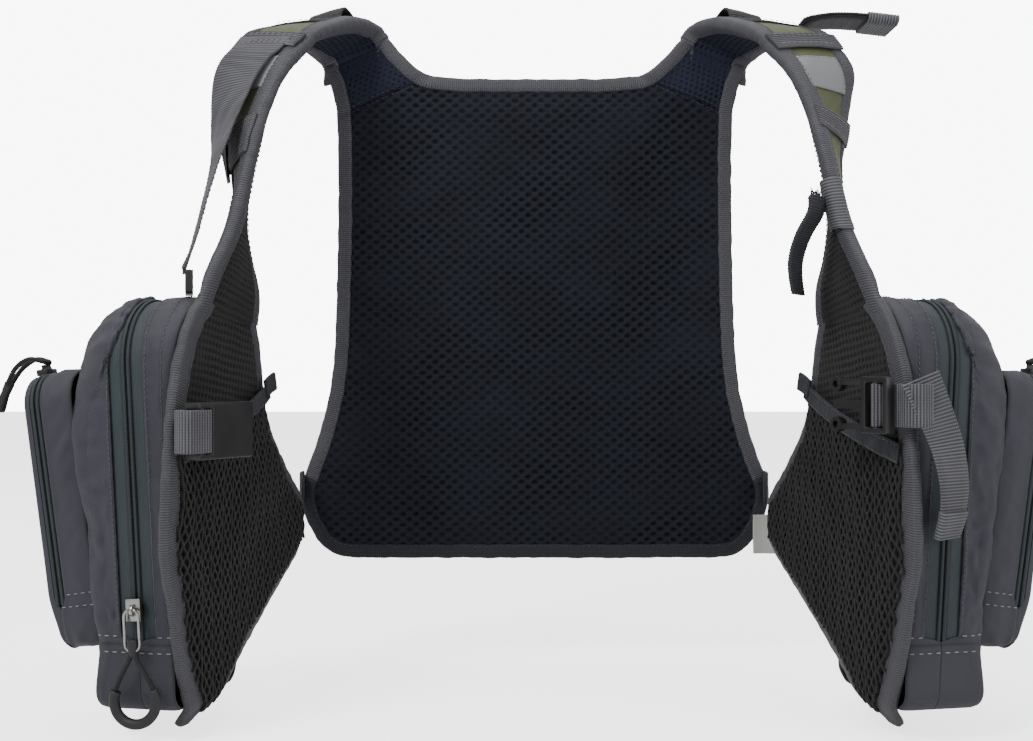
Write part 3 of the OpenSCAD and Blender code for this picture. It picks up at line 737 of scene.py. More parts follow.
def bind_edge(name, stitch_name, outline, ripple, faces, place, toward, body, look, inset, width=10.5,
              replaces=(), gap=1.0):
    """Binding over a stretch of edge and its stitching. ripple is (size, scale, seed); look is
    material, slot and thread, and the slot is not used; toward is the world direction that the front face
    looks in."""
    size, scale, seed = ripple
    path = resample(rounded(outline), 2.2 if body == "back" else 2.0)
    inward = left_normals(path)
    path = path + inward * (size * wobble(along(path), 0 * along(path), scale, seed))[:, None]
    rings, weave = edge_tape(path, inward, *faces, width)
    tape = sweep(name, place(rings), MAT[look[0]], weave)
    finish(tape, body, replaces)
    flat = path + inward * inset
    rows = []
    for face, sign in zip(faces, (1, -1)):
        depth = face(flat) - sign * gap
        rows.append((place(np.column_stack([flat, depth])), np.tile(sign * toward, (len(path), 1))))
    sew(stitch_name, rows, look[2], body)


def bind_back(name, outline, ripple, look, inset, replaces=(), stitch_name=None):
    """The back panel's binding along one stretch of its outline."""
    faces = (lambda p: back_front(p[:, 0], p[:, 1]), lambda p: back_rear(p[:, 0], p[:, 1]))
    place = lambda r: from_base(r[..., 0], r[..., 2], r[..., 1])
    bind_edge(name, stitch_name or name + "_stitching", outline, ripple, faces, place,
              np.array([0, -1.0, 0]), "back", look, inset, replaces=replaces)


def build_back():
    below = lambda x, h: (above_yoke(x, h) < 0.6) | (np.abs(x) < 74)
    above = lambda x, h: (above_yoke(x, h) > -0.6) & (np.abs(x) > 72)
    mesh = back_lattice("back_honeycomb_mesh", MAT["mesh_navy"], below, pattern=holes(**MESH_HOLES))
    finish(mesh, "back", ["back_mesh", "back_foam"])
    yoke = back_lattice("back_yoke_mesh", MAT["mesh_yoke"], above, step=0.75,
                        pattern=holes(**YOKE_HOLES, turn=0.5))
    finish(yoke, "back", ["yoke_mesh"])
    anywhere = lambda x, h: np.isfinite(x + h)
    rear = back_lattice("back_outer_cloth", MAT["twill_slate"], anywhere, rear=True, step=2.4,
                        pattern=rear_seams)
    finish(rear, "back", ["back_shell"])
    total = len(BACK_OUTLINE)
    grey = ("binding_grey", "binding_grey", "thread_grey")
    stretches = [("right", 7, 15, ["back_binding"]), ("neck", 15, total - 14, ()),
                 ("left", total - 14, total - 6, ())]
    for place, start, end, replaces in stretches:
        bind_back(f"back_binding_{place}", BACK_OUTLINE[start:end], (0.35, 16, start + 5), grey, 8.6,
                  replaces)
    hem = np.vstack([BACK_OUTLINE[7:0:-1] * [-1, 1], BACK_OUTLINE[:8]])
    bind_back("back_binding_hem", hem, (0.4, 18, 91), ("binding_dark", "webbing_dark", "thread_dark"), 8.8,
              stitch_name="back_hem_stitching")
    yoke_stitching()
    rear_stitching()


REAR_SEAMS = [(-150, 388, 150, 388), (-96, 388, -96, 62), (96, 388, 96, 62), (-96, 210, 96, 210)]


def rear_seams(x, h):
    """Sewn channels of the outer cloth."""
    depth = np.zeros(x.shape)
    for x0, h0, x1, h1 in REAR_SEAMS:
        length = math.hypot(x1 - x0, h1 - h0)
        t = np.clip(((x - x0) * (x1 - x0) + (h - h0) * (h1 - h0)) / length ** 2, 0, 1)
        d = np.hypot(x - x0 - t * (x1 - x0), h - h0 - t * (h1 - h0))
        depth = np.maximum(depth, 1.7 * np.exp(-(d / 4.5) ** 2))
    # The second value is painted shade in the channels, following their depth.
    return depth, 0.5 * smooth(depth, 0.9, 1.7)


def yoke_stitching():
    rows = []
    for side in NAMES:
        for lift in (-2.2, 2.2):
            x = np.linspace(YOKE_SIDE[0] - 10, YOKE_NECK[0] + 6, 60)
            slope = (YOKE_NECK[1] - YOKE_SIDE[1]) / (YOKE_NECK[0] - YOKE_SIDE[0])
            h = YOKE_SIDE[1] + slope * (x - YOKE_SIDE[0]) + lift
            y = back_front(x, h) - 0.1
            rows.append((from_base(side * x, y, h), np.tile([0, -1.0, 0], (60, 1))))
    sew("back_yoke_stitching", rows, "thread_dark", "back")


def rear_stitching():
    rows = []
    for x0, h0, x1, h1 in REAR_SEAMS:
        run = unit([x1 - x0, h1 - h0])
        for shift in (-3.2, 3.2):
            x = np.linspace(x0, x1, 80) - run[1] * shift
            h = np.linspace(h0, h1, 80) + run[0] * shift
            y = back_rear(x, h) - rear_seams(x, h)[0] + 0.1
            rows.append((from_base(x, y, h), np.tile([0, 1.0, 0], (80, 1))))
    sew("back_outer_stitching", rows, "thread_grey", "back")


# ---------------------------------------------------------------- shoulder straps
NECK_EDGE = np.array([(113, 14, 458.5), (121, 6, 467), (133, -22, 464), (150, -63, 446), (160, -78, 431),
                      (172, -97, 410), (183, -116, 380), (190, -135, 345), (197, -156, 298),
                      (207, -180, 262), (208.8, -195.8, 236)], float)
ARM_EDGE = np.array([(161, 14, 435.5), (170, 6, 444), (186, -20, 453), (203, -58, 444), (211, -66, 434),
                     (221, -77, 411), (215, -84, 372), (208, -92, 335), (203, -104, 295),
                     (191, -112, 254), (190.9, -106.6, 232)], float)
STRAP_START, STRAP_END = -0.6, 10.0
PAD = 9.0
SPLIT = ((0, -0.030, 0), (0, -0.085, 0))


def strap_frame(s):
    """Neck edge point, unit directions across and outwards, and the width, at stations s."""
    s = np.asarray(s, float)
    drop = np.minimum(s, 0)[..., None] * [0.0, 2.0, 22.0]
    s = np.clip(s, 0, STRAP_END)
    neck, arm = curve(NECK_EDGE, s) + drop, curve(ARM_EDGE, s) + drop
    a, b = np.maximum(s - 0.05, 0), np.minimum(s + 0.05, STRAP_END)
    run = curve(NECK_EDGE, b) + curve(ARM_EDGE, b) - curve(NECK_EDGE, a) - curve(ARM_EDGE, a)
    across = arm - neck
    return neck, unit(across), unit(np.cross(unit(run), across)), np.linalg.norm(across, axis=-1)


def on_strap(side, s, w, d):
    """World points at station s, w from the neck edge and d outside the strap's face."""
    s, w, d = np.broadcast_arrays(*(np.asarray(v, float) for v in (s, w, d)))
    neck, across, out, _ = strap_frame(s)
    p = neck + across * w[..., None] + out * d[..., None]
    return from_base(side * p[..., 0], p[..., 1], p[..., 2])


def strap_out(side, s):
    """World direction out of the strap's face."""
    out = strap_frame(s)[2]
    return out * [side, 1, 1]


def strap_top(s, t, side):
    """How far the padded outer face stands above the flat strap, t across from 0 to 1."""
    crown = 2.4 * (1 - np.abs(2 * t - 1) ** 3) * (1 - 0.8 * smooth(s, 9, 10)) - 0.8
    return crown + 0.5 * wobble(s * 30, t * 40, 40, 20 + side, 3)


def strap_under(s, t):
    """Depth of the inner face, thinner at the edges and towards the panel."""
    thick = mix(PAD, PAD - 2, smooth(s, 4, 8.6)) - 4.6 * smooth(s, 8.8, 10)
    return -thick * (0.55 + 0.45 * (1 - np.abs(2 * t - 1) ** 3))


def strap_lengths(s):
    """Distance along the strap's middle at stations s, for fabric coordinates."""
    fine = np.linspace(0, STRAP_END, 400)
    middle = (curve(NECK_EDGE, fine) + curve(ARM_EDGE, fine)) / 2
    return np.interp(s, fine, along(middle)) + 22 * np.minimum(s, 0)


def strap_sheet(name, side, stations, t, depth, material, pattern):
    """Grid over a strap: stations by share of the width, lifted by depth."""
    s, t = np.meshgrid(stations, t, indexing="ij")
    width = strap_frame(s)[3]
    run, w = strap_lengths(s), t * width
    pit, shade = pattern(run, w)
    points = on_strap(side, s, w, depth(s, t) + pit)
    weave = np.stack([run, w, 0 * s], axis=-1) * MM
    faces = [grid_faces(*s.shape, flip=side > 0)]
    return add_mesh(name, points, faces, MAT[material], weave, shade, solid=False)


STRAP_HOLES = dict(pitch=(5.2, 3.2), radii=(1.4, 1.05), deep=1.3, turn=0.6)


def strap_pad(side):
    nm = NAMES[side]
    stations = np.linspace(STRAP_START, STRAP_END, 270)
    t = np.concatenate([np.linspace(0, 1, 26), np.linspace(1, 0, 14)[1:-1]])
    upper = np.arange(len(t)) < 26
    s, tt = np.meshgrid(stations, t, indexing="ij")
    width = strap_frame(s)[3]
    depth = np.where(upper[None, :], strap_top(s, tt, side), strap_under(s, tt))
    points = on_strap(side, s, tt * width, depth)
    weave = np.stack([strap_lengths(s), tt * width, np.where(upper[None, :], 0, -8) + 0 * s], axis=-1) * MM
    pad = sweep(f"strap_cover_{nm}", points, MAT["twill_olive"], weave)
    blend = ("back", f"panel_{nm}", *SPLIT)
    finish(pad, blend=blend, replaces=[f"shoulder_pad_{nm}", f"strap_pad_{nm}"])
    inside = lambda s, t: strap_under(s, t) - 1.9
    across = np.linspace(0.02, 0.98, 56)
    under = strap_sheet(f"strap_inner_mesh_{nm}", side, np.linspace(3.2, STRAP_END, 340), across, inside,
                        "mesh_charcoal", holes(**STRAP_HOLES))
    finish(under, blend=blend)
    yoke = strap_sheet(f"strap_yoke_mesh_{nm}", side, np.linspace(STRAP_START, 3.3, 190), across, inside,
                       "mesh_yoke", holes(**STRAP_HOLES))
    finish(yoke, blend=blend)
    for edge in ("neck", "arm"):
        strap_tape(side, edge, blend)


def strap_tape(side, edge, blend):
    """Tape folded over one edge of a strap."""
    nm = NAMES[side]
    stations = np.linspace(STRAP_START, 9.9, 350)
    width = strap_frame(stations)[3]
    ripple = 0.4 * wobble(stations * 36, 0 * stations, 18, 40 + side + len(edge))
    places = [(11, 1, 0.2), (10, 1, 0.9), (6, 1, 1.25), (2, 1, 1.0), (0, 1, 0.3), (-1.1, 0.5, 0), (0, 0, 0.3),
              (2, 0, 1.0), (6, 0, 1.25), (10, 0, 0.9), (11, 0, 0.2)]
    rings, weave = [], []
    for w, face, lift in places:
        t = np.clip(w, 0, 99) / width
        t = t if edge == "neck" else 1 - t
        top, low = strap_top(stations, t, side) + lift, strap_under(stations, t) - 1.6 - lift
        depth = mix(low, top, face)
        across = w + ripple if edge == "neck" else width - w - ripple
        rings.append(on_strap(side, stations, across, depth))
        fabric = np.broadcast_arrays(strap_lengths(stations), w * (2 * face - 1), 0.0)
        weave.append(np.stack(fabric, axis=-1))
    tape = sweep(f"strap_binding_{edge}_{nm}", np.stack(rings, axis=1), MAT["binding_grey"],
                 np.stack(weave, axis=1) * MM)
    finish(tape, blend=blend)
    t = 8.8 / width
    t = t if edge == "neck" else 1 - t
    lines = []
    for top in (True, False):
        depth = strap_top(stations, t, side) + 1.05 if top else strap_under(stations, t) - 2.8
        path = on_strap(side, stations, t * width, depth)
        lines.append((path, strap_out(side, stations) * (1 if top else -1)))
    sew(f"strap_stitching_{edge}_{nm}", lines, "thread_grey", blend=blend)


def strap_trim(name, side, s0, s1, w0, w1, lift, thick, material, body, replaces=(), ribs=0.0, rise=None):
    """Flat trim sewn on a strap between two stations; rise lifts it by so much at each station."""
    s = np.linspace(s0, s1, 60)
    width = strap_frame(s)[3]
    t = np.linspace(0, 1, 15)
    ss, tt = np.meshgrid(s, t, indexing="ij")
    w = mix(w0, w1, tt)
    top = strap_top(ss, np.clip(w / width[:, None], 0, 1), side) + lift + thick
    if rise is not None:
        top = top + rise(ss)
    run = strap_lengths(ss)
    top = top + ribs * np.sin(run * math.tau / 2.0)
    points = on_strap(side, ss, w, top)
    weave = np.stack([run, w, 0 * ss], axis=-1) * MM
    piece = shell(name, points, thick * MM, MAT[material], weave, flip=side)
    return finish(piece, body, replaces)


def sewn_rows(name, side, rows, body, material="thread_light", lift=0.0, **sizes):
    """Stitch rows on a strap: each is (s0, w0, s1, w1)."""
    lines = []
    for s0, w0, s1, w1 in rows:
        s, w = np.linspace(s0, s1, 40), np.linspace(w0, w1, 40)
        width = strap_frame(s)[3]
        depth = strap_top(s, np.clip(w / width, 0, 1), side) + lift
        lines.append((on_strap(side, s, w, depth), strap_out(side, s)))
    return sew(name, lines, material, body, **sizes)


def build_straps():
    for side in NAMES:
        strap_pad(side)
        strap_trims(side)
    left_strap()
    right_strap()


def strap_trims(side):
    """Loop, patch and rear stitching that both shoulders have."""
    nm = NAMES[side]
    arch = lambda s: 12.0 * np.sin(math.pi * np.clip((s - 0.9) / 1.0, 0, 1)) ** 0.7
    strap_trim(f"shoulder_loop_{nm}", side, 0.88, 1.92, 12, 37, 0.4, 1.7, "webbing_black", "back",
               ["shoulder_loops"], ribs=0.15, rise=arch)
    for s0, s1 in ((0.62, 0.92), (1.88, 2.1)):
        strap_trim(f"shoulder_loop_end_{nm}_{int(s0 * 10)}", side, s0, s1, 12, 37, 0.1, 1.9,
                   "webbing_black", "back", ribs=0.15)
    strap_trim(f"shoulder_patch_{nm}", side, 2.0, 2.66, 8, 46, 0.1, 1.2, "patch_dark", "back",
               ["shoulder_patches"])
    rows = [(2.04, 10, 2.04, 44), (2.62, 10, 2.62, 44), (0.7, 13.5, 0.7, 35.5), (2.0, 13.5, 2.0, 35.5)]
    sewn_rows(f"shoulder_stitching_{nm}", side, rows, "back", "thread_grey", lift=2.1)
    strap_trim(f"strap_reflector_{nm}", side, 4.7, 5.52, 8, 41, 0.1, 0.9, "reflective", f"panel_{nm}",
               [f"reflector_{nm}"])
    low, high, neck, arm = 4.73, 5.49, 9.5, 39.5
    rows = [(low, neck, low, arm), (high, neck, high, arm), (low, neck, high, neck), (low, arm, high, arm)]
    sewn_rows(f"reflector_stitching_{nm}", side, rows, f"panel_{nm}", lift=1.0, length=2.4 * MM)


DRAPE_FRONT = np.array([(9, 1.6), (12, 5), (10, 9), (4, 14), (-5, 16), (-9, 10.9)])
DRAPE_REAR = np.array([(47, 1.6), (50, 5), (48, 9), (42, 15), (35, 21), (26.4, 28.3)])


def left_strap():
    """Grey webbing draped over the left strap, its adjuster and the sewn band."""
    side, body = -1, "panel_left"
    t = np.linspace(0, 5.08, 170)
    front, rear = curve(DRAPE_FRONT, t), curve(DRAPE_REAR, t)
    tt = np.linspace(0, 1, 25)[None, :]
    ss = 4.05 + t[:, None] * mix(0.948, 0.918, tt)
    w = mix(front[:, :1], rear[:, :1], tt)
    d = mix(front[:, 1:], rear[:, 1:], tt) + 3.0 * (1 - smooth(t, 0, 0.6))[:, None] + 1.0
    d = d + 1.6 * np.sin(math.pi * tt) * np.sin(math.pi * t / 5)[:, None]
    d = d + 0.25 * wobble(ss * 30, 0 * ss, 30, 71)
    run = strap_lengths(ss)
    d = d + 0.28 * np.sin(run * math.tau / 2.1) + 0.06 * np.sin(w * math.tau / 1.6)
    points = on_strap(side, ss, w, d)
    weave = np.stack([run, w, 0 * ss], axis=-1) * MM
    finish(shell("drape_webbing_piece", points, 1.7 * MM, MAT["webbing_grey"], weave, flip=side),
           body, ["drape_webbing"])
    strap_trim("drape_top_wrap", side, 3.72, 4.32, 3, 46, 2.0, 1.6, "webbing_grey", body, ribs=0.2)
    rows = [(3.8, 6, 3.8, 44), (3.9, 6, 3.9, 44), (4.22, 6, 4.22, 44), (4.3, 6, 4.3, 44)]
    sewn_rows("drape_stitching", side, rows, body, lift=3.7)
    strap_trim("strap_band_piece", side, 6.22, 6.98, -0.5, 46, 0.9, 1.7, "webbing_grey", body,
               ["strap_band"], ribs=0.25)
    rows = [(6.3, 2, 6.3, 44), (6.4, 2, 6.4, 44), (6.8, 2, 6.8, 44), (6.9, 2, 6.9, 44)]
    sewn_rows("strap_band_stitching", side, rows, body, lift=2.8)
    strap_trim("strap_band_black", side, 6.12, 7.1, 40, 52, 2.0, 2.0, "webbing_black", body)
    adjuster = rebuilt("drape_adjuster", "drape_adjuster_piece", "plastic_black", 0.7)
    finish(adjuster, body)


def right_strap():
    """Rod tab, grey wraps, keeper and loose end of the right strap."""
    side, body = 1, "panel_right"
    strap_trim("shoulder_wrap_right", side, 3.75, 4.4, 1, 52, 1.8, 1.8, "webbing_grey", body, ribs=0.25)
    rows = [(3.85, 4, 3.85, 48), (3.95, 4, 3.95, 48), (4.28, 4, 4.28, 48)]
    sewn_rows("shoulder_wrap_stitching", side, rows, body, lift=3.8)
    strap_trim("pinch_band_right", side, 6.0, 6.45, 0, 47, 0.2, 1.7, "webbing_grey", body, ribs=0.25)
    sewn_rows("pinch_band_stitching", side, [(6.08, 3, 6.08, 44), (6.36, 3, 6.36, 44)], body, lift=2.0)
    keeper(side, body)
    loose_end()
    rod_tab()


def keeper(side, body):
    """Webbing folded round the neck edge."""
    s = np.linspace(7.38, 8.12, 36)
    places = [(17, 2.2), (10, 2.6), (3, 2.4), (-1.5, 0.5), (-2.6, -3.5), (-1.5, -8.0), (3, -11.0),
              (10, -11.6), (17, -10.5)]
    fine = curve(np.array(places, float), np.linspace(0, 8, 41))
    ss, k = np.meshgrid(s, np.arange(41), indexing="ij")
    run = strap_lengths(ss)
    points = on_strap(side, ss, fine[k, 0], fine[k, 1] + 0.2 * np.sin(run * math.tau / 2.0))
    weave = np.stack([run, k * 1.1, 0 * ss], axis=-1) * MM
    finish(shell("strap_keeper_piece", points, 1.5 * MM, MAT["webbing_grey"], weave, flip=-side),
           body, ["strap_keeper"])
    rows = [(7.46, 0, 7.46, 15), (8.03, 0, 8.03, 15)]
    sewn_rows("keeper_stitching", side, rows, body, lift=2.4)


def loose_end():
    """Dark strap end that hangs inwards, with a frayed top."""
    path = [(176, -151, 314), (174, -152, 304), (168, -155, 290), (163, -156, 270), (163, -154, 251)]
    middle = curve(np.array(path), np.linspace(0, 4, 90))
    middle[:, 0] += 1.6 * np.sin(np.linspace(0, 7, 90))
    points = from_base(middle[:, 0], middle[:, 1], middle[:, 2])
    twist = np.radians(np.linspace(-14, 16, 90))
    across = np.stack([-0.55 - 0 * twist, -0.83 - 0 * twist, 0 * twist], axis=1)
    across[:, 0] += 0.35 * np.sin(twist)
    across = unit(across)
    out = unit(np.cross(across, tangents(points)))
    width = np.interp(np.linspace(0, 1, 90), [0, 0.06, 1], [16, 24, 24]) * MM
    band("strap_tail_piece", points, across, out, width, 2.4 * MM, "webbing_dark", "panel_right",
         ["strap_tail"], ribs=0.2 * MM)
    paths = []
    rng = np.random.default_rng(7)
    for _ in range(26):
        start = points[0] + across[0] * rng.uniform(-8, 8) * MM + out[0] * rng.uniform(0, 2) * MM
        lean = np.array([rng.uniform(-2, 2), rng.uniform(-2, 2), rng.uniform(2, 5)]) * MM
        paths.append(np.array([start - [0, 0, 3 * MM], start, start + lean * 0.6, start + lean]))
    fray = tubes("strap_tail_fray", paths, 0.3 * MM, MAT["webbing_dark"], facets=5)
    finish(fray, "panel_right")


def rod_tab():
    """Stiff webbing tab that stands out from the right shoulder, folded back at its end."""
    path = [(190, -43, 451), (196, -44, 452.8), (212, -45, 454.5), (232, -46, 453.5), (256, -47, 450.5)]
    middle = curve(np.array(path), np.linspace(0, 4, 150))
    points = from_base(middle[:, 0], middle[:, 1], middle[:, 2])
    across = np.tile([0.0, 1.0, 0.0], (150, 1))
    out = unit(np.cross(tangents(points), across))
    band("rod_tab_underside", points - out * 1.6 * MM, across, out, 35 * MM, 1.6 * MM, "webbing_black",
         "rod_tab", ["rod_tab"], ribs=0.12 * MM)
    band("rod_tab_top", points + out * 0.2 * MM, across, out, 36 * MM, 1.7 * MM, "webbing_dark",
         "rod_tab", ribs=0.2 * MM)
    tip = points[-34:]
    band("rod_tab_fold", tip - out[-34:] * 3.8 * MM, across[-34:], out[-34:], 37 * MM, 7.4 * MM,
         "webbing_grey", "rod_tab", ribs=0.25 * MM)
    rows = []
    for k in (-30, -26, 20):
        lift = 3.8 if k < 0 else 2
        line = points[k] + across[k] * np.linspace(-15, 15, 12)[:, None] * MM + out[k] * lift * MM
        rows.append((line, np.tile(out[k], (12, 1))))
    sew("rod_tab_stitching", rows, "thread_light", "rod_tab")


def tubes(name, paths, radius, material, facets=6, up=(0, 0, 1)):
    """Many thin round strands in one mesh."""
    verts, quads, ends, weaves, count = [], [], [], [], 0
    angle = np.linspace(0, math.tau, facets, endpoint=False)
    for path in paths:
        t = tangents(path)
        u = unit(np.cross(np.asarray(up, float) + 1e-6, t))
        v = np.cross(t, u)
        ring = np.cos(angle)[None, :, None] * u[:, None] + np.sin(angle)[None, :, None] * v[:, None]
        rings = path[:, None] + radius * ring
        verts.append(rings.reshape(-1, 3))
        length = along(path)
        weave = np.stack(np.broadcast_arrays(length[:, None], angle[None] * radius, 0.0), axis=-1)
        weaves.append(weave.reshape(-1, 3))
        quads.append(grid_faces(len(path), facets, wrap_cols=True) + count)
        ends.append(np.arange(facets)[None, ::-1] + count)
        ends.append(np.arange(facets)[None, :] + count + (len(path) - 1) * facets)
        count += len(path) * facets
    faces = [np.concatenate(quads), np.concatenate(ends)]
    return add_mesh(name, np.concatenate(verts), faces, material, np.concatenate(weaves))


def rebuilt(node, name, material, bevel, segments=3):
    """Copy of a hard CAD part with rounded edges."""
    source = frame["nodes"][node]
    mesh = source.data.copy()
    mesh.name = name
    mesh.transform(source.matrix_world)
    mesh.materials.clear()
    mesh.materials.append(MAT[material])
    obj = bpy.data.objects.new(name, mesh)
    bpy.context.scene.collection.objects.link(obj)
    weld = obj.modifiers.new("weld", "WELD")
    weld.merge_threshold = 0.01 * MM
    rounding = obj.modifiers.new("bevel", "BEVEL")
    rounding.width = bevel * MM
    rounding.segments = segments
    rounding.limit_method = "ANGLE"
    rounding.angle_limit = math.radians(40)
    rounding.harden_normals = False
    bpy.context.view_layer.objects.active = obj
    bpy.context.view_layer.update()
    depsgraph = bpy.context.evaluated_depsgraph_get()
    final = bpy.data.meshes.new_from_object(obj.evaluated_get(depsgraph))
    obj.modifiers.clear()
    obj.data = final
    final.shade_smooth()
    final.set_sharp_from_angle(angle=math.radians(50))
    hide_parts(node)
    return obj


# ---------------------------------------------------------------- front panels
PANEL_OUTLINE = np.array([
    (0, 76), (50, 52), (106, 24), (158, -8), (170, -14), (179, -13), (190, 2), (200, 24), (208, 48),
    (215, 76), (220, 106), (222, 138), (218, 165), (211, 188), (202, 214), (186, 238), (165, 252),
    (95, 244), (84, 222), (79, 196), (68, 164), (34, 134), (8, 114), (0, 106)], float)
HEM_REAR, HEM_FRONT = np.array([77.0, 196.0]), np.array([215.0, 160.0])
LINER_HOLES = dict(pitch=(6.4, 3.5), radii=(1.75, 1.2), deep=1.5, turn=0.95, seed=33)


def hem_height(u):
    """Height of the net pocket's slanted hem."""
    slope = (HEM_FRONT[1] - HEM_REAR[1]) / (HEM_FRONT[0] - HEM_REAR[0])
    return HEM_REAR[1] + slope * (u - HEM_REAR[0]) - 3.0 * np.sin(np.clip((u - 77) / 138, 0, 1) * math.pi)


def panel_warp(u, h):
    """How far the loose edges of a panel stand off its plane."""
    curl = 11 * smooth(4 - h, 0, 18) * smooth(u, 120, 165)
    ripple = 1.6 * wobble(h, 0 * h, 80, 61, 2) * smooth(u, 198, 216)
    return curl + ripple


def panel_inner(u, h):
    d = outline_distance(u, h, PANEL_OUTLINE)
    return panel_warp(u, h) + 1.8 * (1 - smooth(d, 0, 18)) + 0.35 * wobble(u, h, 60, 62, 2)


def panel_outer(u, h):
    d = outline_distance(u, h, PANEL_OUTLINE)
    return panel_warp(u, h) + 7.9 - 1.4 * (1 - smooth(d, 0, 18))


def panel_sheets(side):
    nm, body = NAMES[side], f"panel_{NAMES[side]}"
    keep = lambda u, h: outline_distance(u, h, PANEL_OUTLINE) > 3
    inner = lambda u, h, depth: on_panel(side, u, panel_inner(u, h) + depth, h)
    outer = lambda u, h, depth: on_panel(side, u, panel_outer(u, h) - depth, h)
    bounds = ((0, 224), (-16, 254))
    liner = lattice(f"panel_air_mesh_{nm}", bounds, 0.95, keep, inner, MAT["mesh_charcoal"],
                    holes(**LINER_HOLES), flip=side < 0)
    finish(liner, body, [f"panel_mesh_{nm}"])
    cloth = lattice(f"panel_outer_cloth_{nm}", bounds, 2.2, keep, outer, MAT["twill_slate"], flip=side > 0)
    finish(cloth, body, [f"panel_shell_{nm}"])


def panel_tape(side):
    nm, body = NAMES[side], f"panel_{NAMES[side]}"
    outline = np.vstack([PANEL_OUTLINE[17:], PANEL_OUTLINE[:17]])
    faces = (lambda p: panel_inner(p[:, 0], p[:, 1]), lambda p: panel_outer(p[:, 0], p[:, 1]))
    place = lambda r: on_panel(side, r[..., 0], r[..., 2], r[..., 1])
    look = ("binding_grey", "binding_grey", "thread_grey")
    bind_edge(f"panel_edge_binding_{nm}", f"panel_binding_stitching_{nm}", outline, (0.5, 17, 66 + side),
              faces, place, -SIDE_FRAMES[side][2], body, look, 10.0, 12, [f"panel_binding_{nm}"])


def net_strands(side):
    """Knitted net: wavy strands that meet by turns with the strand on either side."""
    pitch, opening, radius = 3.4, 9.6, 0.92
    paths = []
    for i in range(62):
        h = np.arange(-14, 200, 1.15)
        u = np.full(h.shape, 4 + i * pitch)
        inside = (outline_distance(u, h, PANEL_OUTLINE) > 8.0) & (h < hem_height(u) - 5)
        inside &= u > 6
        if inside.sum() < 8:
            continue
        first, last = np.flatnonzero(inside)[[0, -1]]
        h, u = h[first:last + 1], u[first:last + 1]
        swing = (pitch / 2 - radius * 0.75) * np.cos(h * math.tau / opening + i * math.pi)
        pull = 0.22 * smooth(h, 80, 190) * (1 - smooth(u, 90, 190)) * (u - 84)
        lean = 2.2 * wobble(u, h, 90, 81 + side, 2)
        u = u + swing - pull + lean
        lift = 0.35 * np.sin(h * math.tau / opening + i * math.pi / 2)
        belly = 1.4 * smooth(h, 60, 140) * smooth(u, 60, 130) * (1 - smooth(u, 170, 205))
        n = panel_inner(u, h) - 2.6 + lift - belly
        paths.append(on_panel(side, u, n, h))
    out = SIDE_FRAMES[side][2]
    net = tubes(f"net_pocket_strands_{NAMES[side]}", paths, radius * MM, MAT["net"], facets=6, up=out)
    finish(net, f"panel_{NAMES[side]}", [f"net_pocket_{NAMES[side]}"])


def net_hem(side):
    nm, body = NAMES[side], f"panel_{NAMES[side]}"
    u = np.linspace(HEM_REAR[0] + 1, HEM_FRONT[0] - 3, 120)
    h = hem_height(u) - 6
    n = panel_inner(u, h) - 3.4 - 1.6 * np.sin(np.linspace(0, math.pi, 120)) + 0.4 * wobble(u, h, 30, 85, 2)
    points = on_panel(side, u, n, h)
    out = np.tile(-SIDE_FRAMES[side][2], (120, 1))
    across = unit(np.cross(out, tangents(points)))
    band(f"net_hem_band_{nm}", points, across, out, 12 * MM, 1.3 * MM, "webbing_dark", body,
         [f"net_hem_{nm}"], ribs=0.1 * MM)
    rows = [(points + across * k * 4.6 * MM + out * 1.35 * MM, out) for k in (-1, 1)]
    sew(f"net_hem_stitching_{nm}", rows, "thread_grey", body)
    tab_u = np.linspace(74, 90, 20)
    hem_h = hem_height(tab_u)
    tab = on_panel(side, tab_u, panel_inner(tab_u, hem_h) - 5.6 + 0.06 * (tab_u - 74), hem_h - 1)
    band(f"net_hem_tab_{nm}", tab, across[:20], out[:20], 13 * MM, 2.6 * MM, "webbing_dark", body)


def panel_extras():
    """Side connectors and care label."""
    for side in NAMES:
        nm = NAMES[side]
        lo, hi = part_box(f"side_strap_{nm}")
        mid = (np.array(lo) + np.array(hi)) / 2
        t = np.linspace(-1, 1, 30)
        path = np.column_stack([side * (172.8 + 2.0 * t + 1.6 * (1 - t ** 2)) * MM, (-8.3 + 13 * t) * MM,
                                mid[2] + 0 * t])
        up = np.tile([0.0, 0.0, 1.0], (30, 1))
        out = unit(np.cross(up, tangents(path)))
        band(f"side_connector_{nm}", path, up, out, 24 * MM, 2.0 * MM, "webbing_dark", "back",
             [f"side_strap_{nm}"], ribs=0.15 * MM)
    lo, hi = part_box("care_label")
    x = np.linspace(lo.x, hi.x, 20)
    z = np.linspace(lo.z, hi.z, 30)
    gx, gz = np.meshgrid(x, z)
    gy = lo.y + 1.5 * MM * np.sin((gz - lo.z) / (hi.z - lo.z) * 2.6) + 0.8 * MM * np.sin((gx - lo.x) * 260)
    weave = np.stack([gx, gz, 0 * gx], axis=-1)
    label = shell("care_label_sheet", np.stack([gx, gy, gz], axis=-1), 0.4 * MM, MAT["label"], weave, flip=1)
    finish(label, "back", ["care_label"])


def build_panels():
    for side in NAMES:
        panel_sheets(side)
        panel_tape(side)
        net_strands(side)
        net_hem(side)
    panel_extras()


# ---------------------------------------------------------------- pouches
POUCH = dict(u0=108, u1=200, h0=0, h1=247, low=14, high=42)
POUCH_IN, BASE_OUT, FULL_OUT = 8.3, 58.3, 80.3
BASE_H, FULL_H = 34, 188
ZIP_START = 48
TAPE = 11.0
TILT = math.atan2(FULL_OUT - BASE_OUT, FULL_H - BASE_H)
POCKET = dict(u0=116, u1=192, h0=3, h1=171, low=12, high=20)
POCKET_DEEP, COVER_LOW, COVER_DEEP = 31, 27, 23


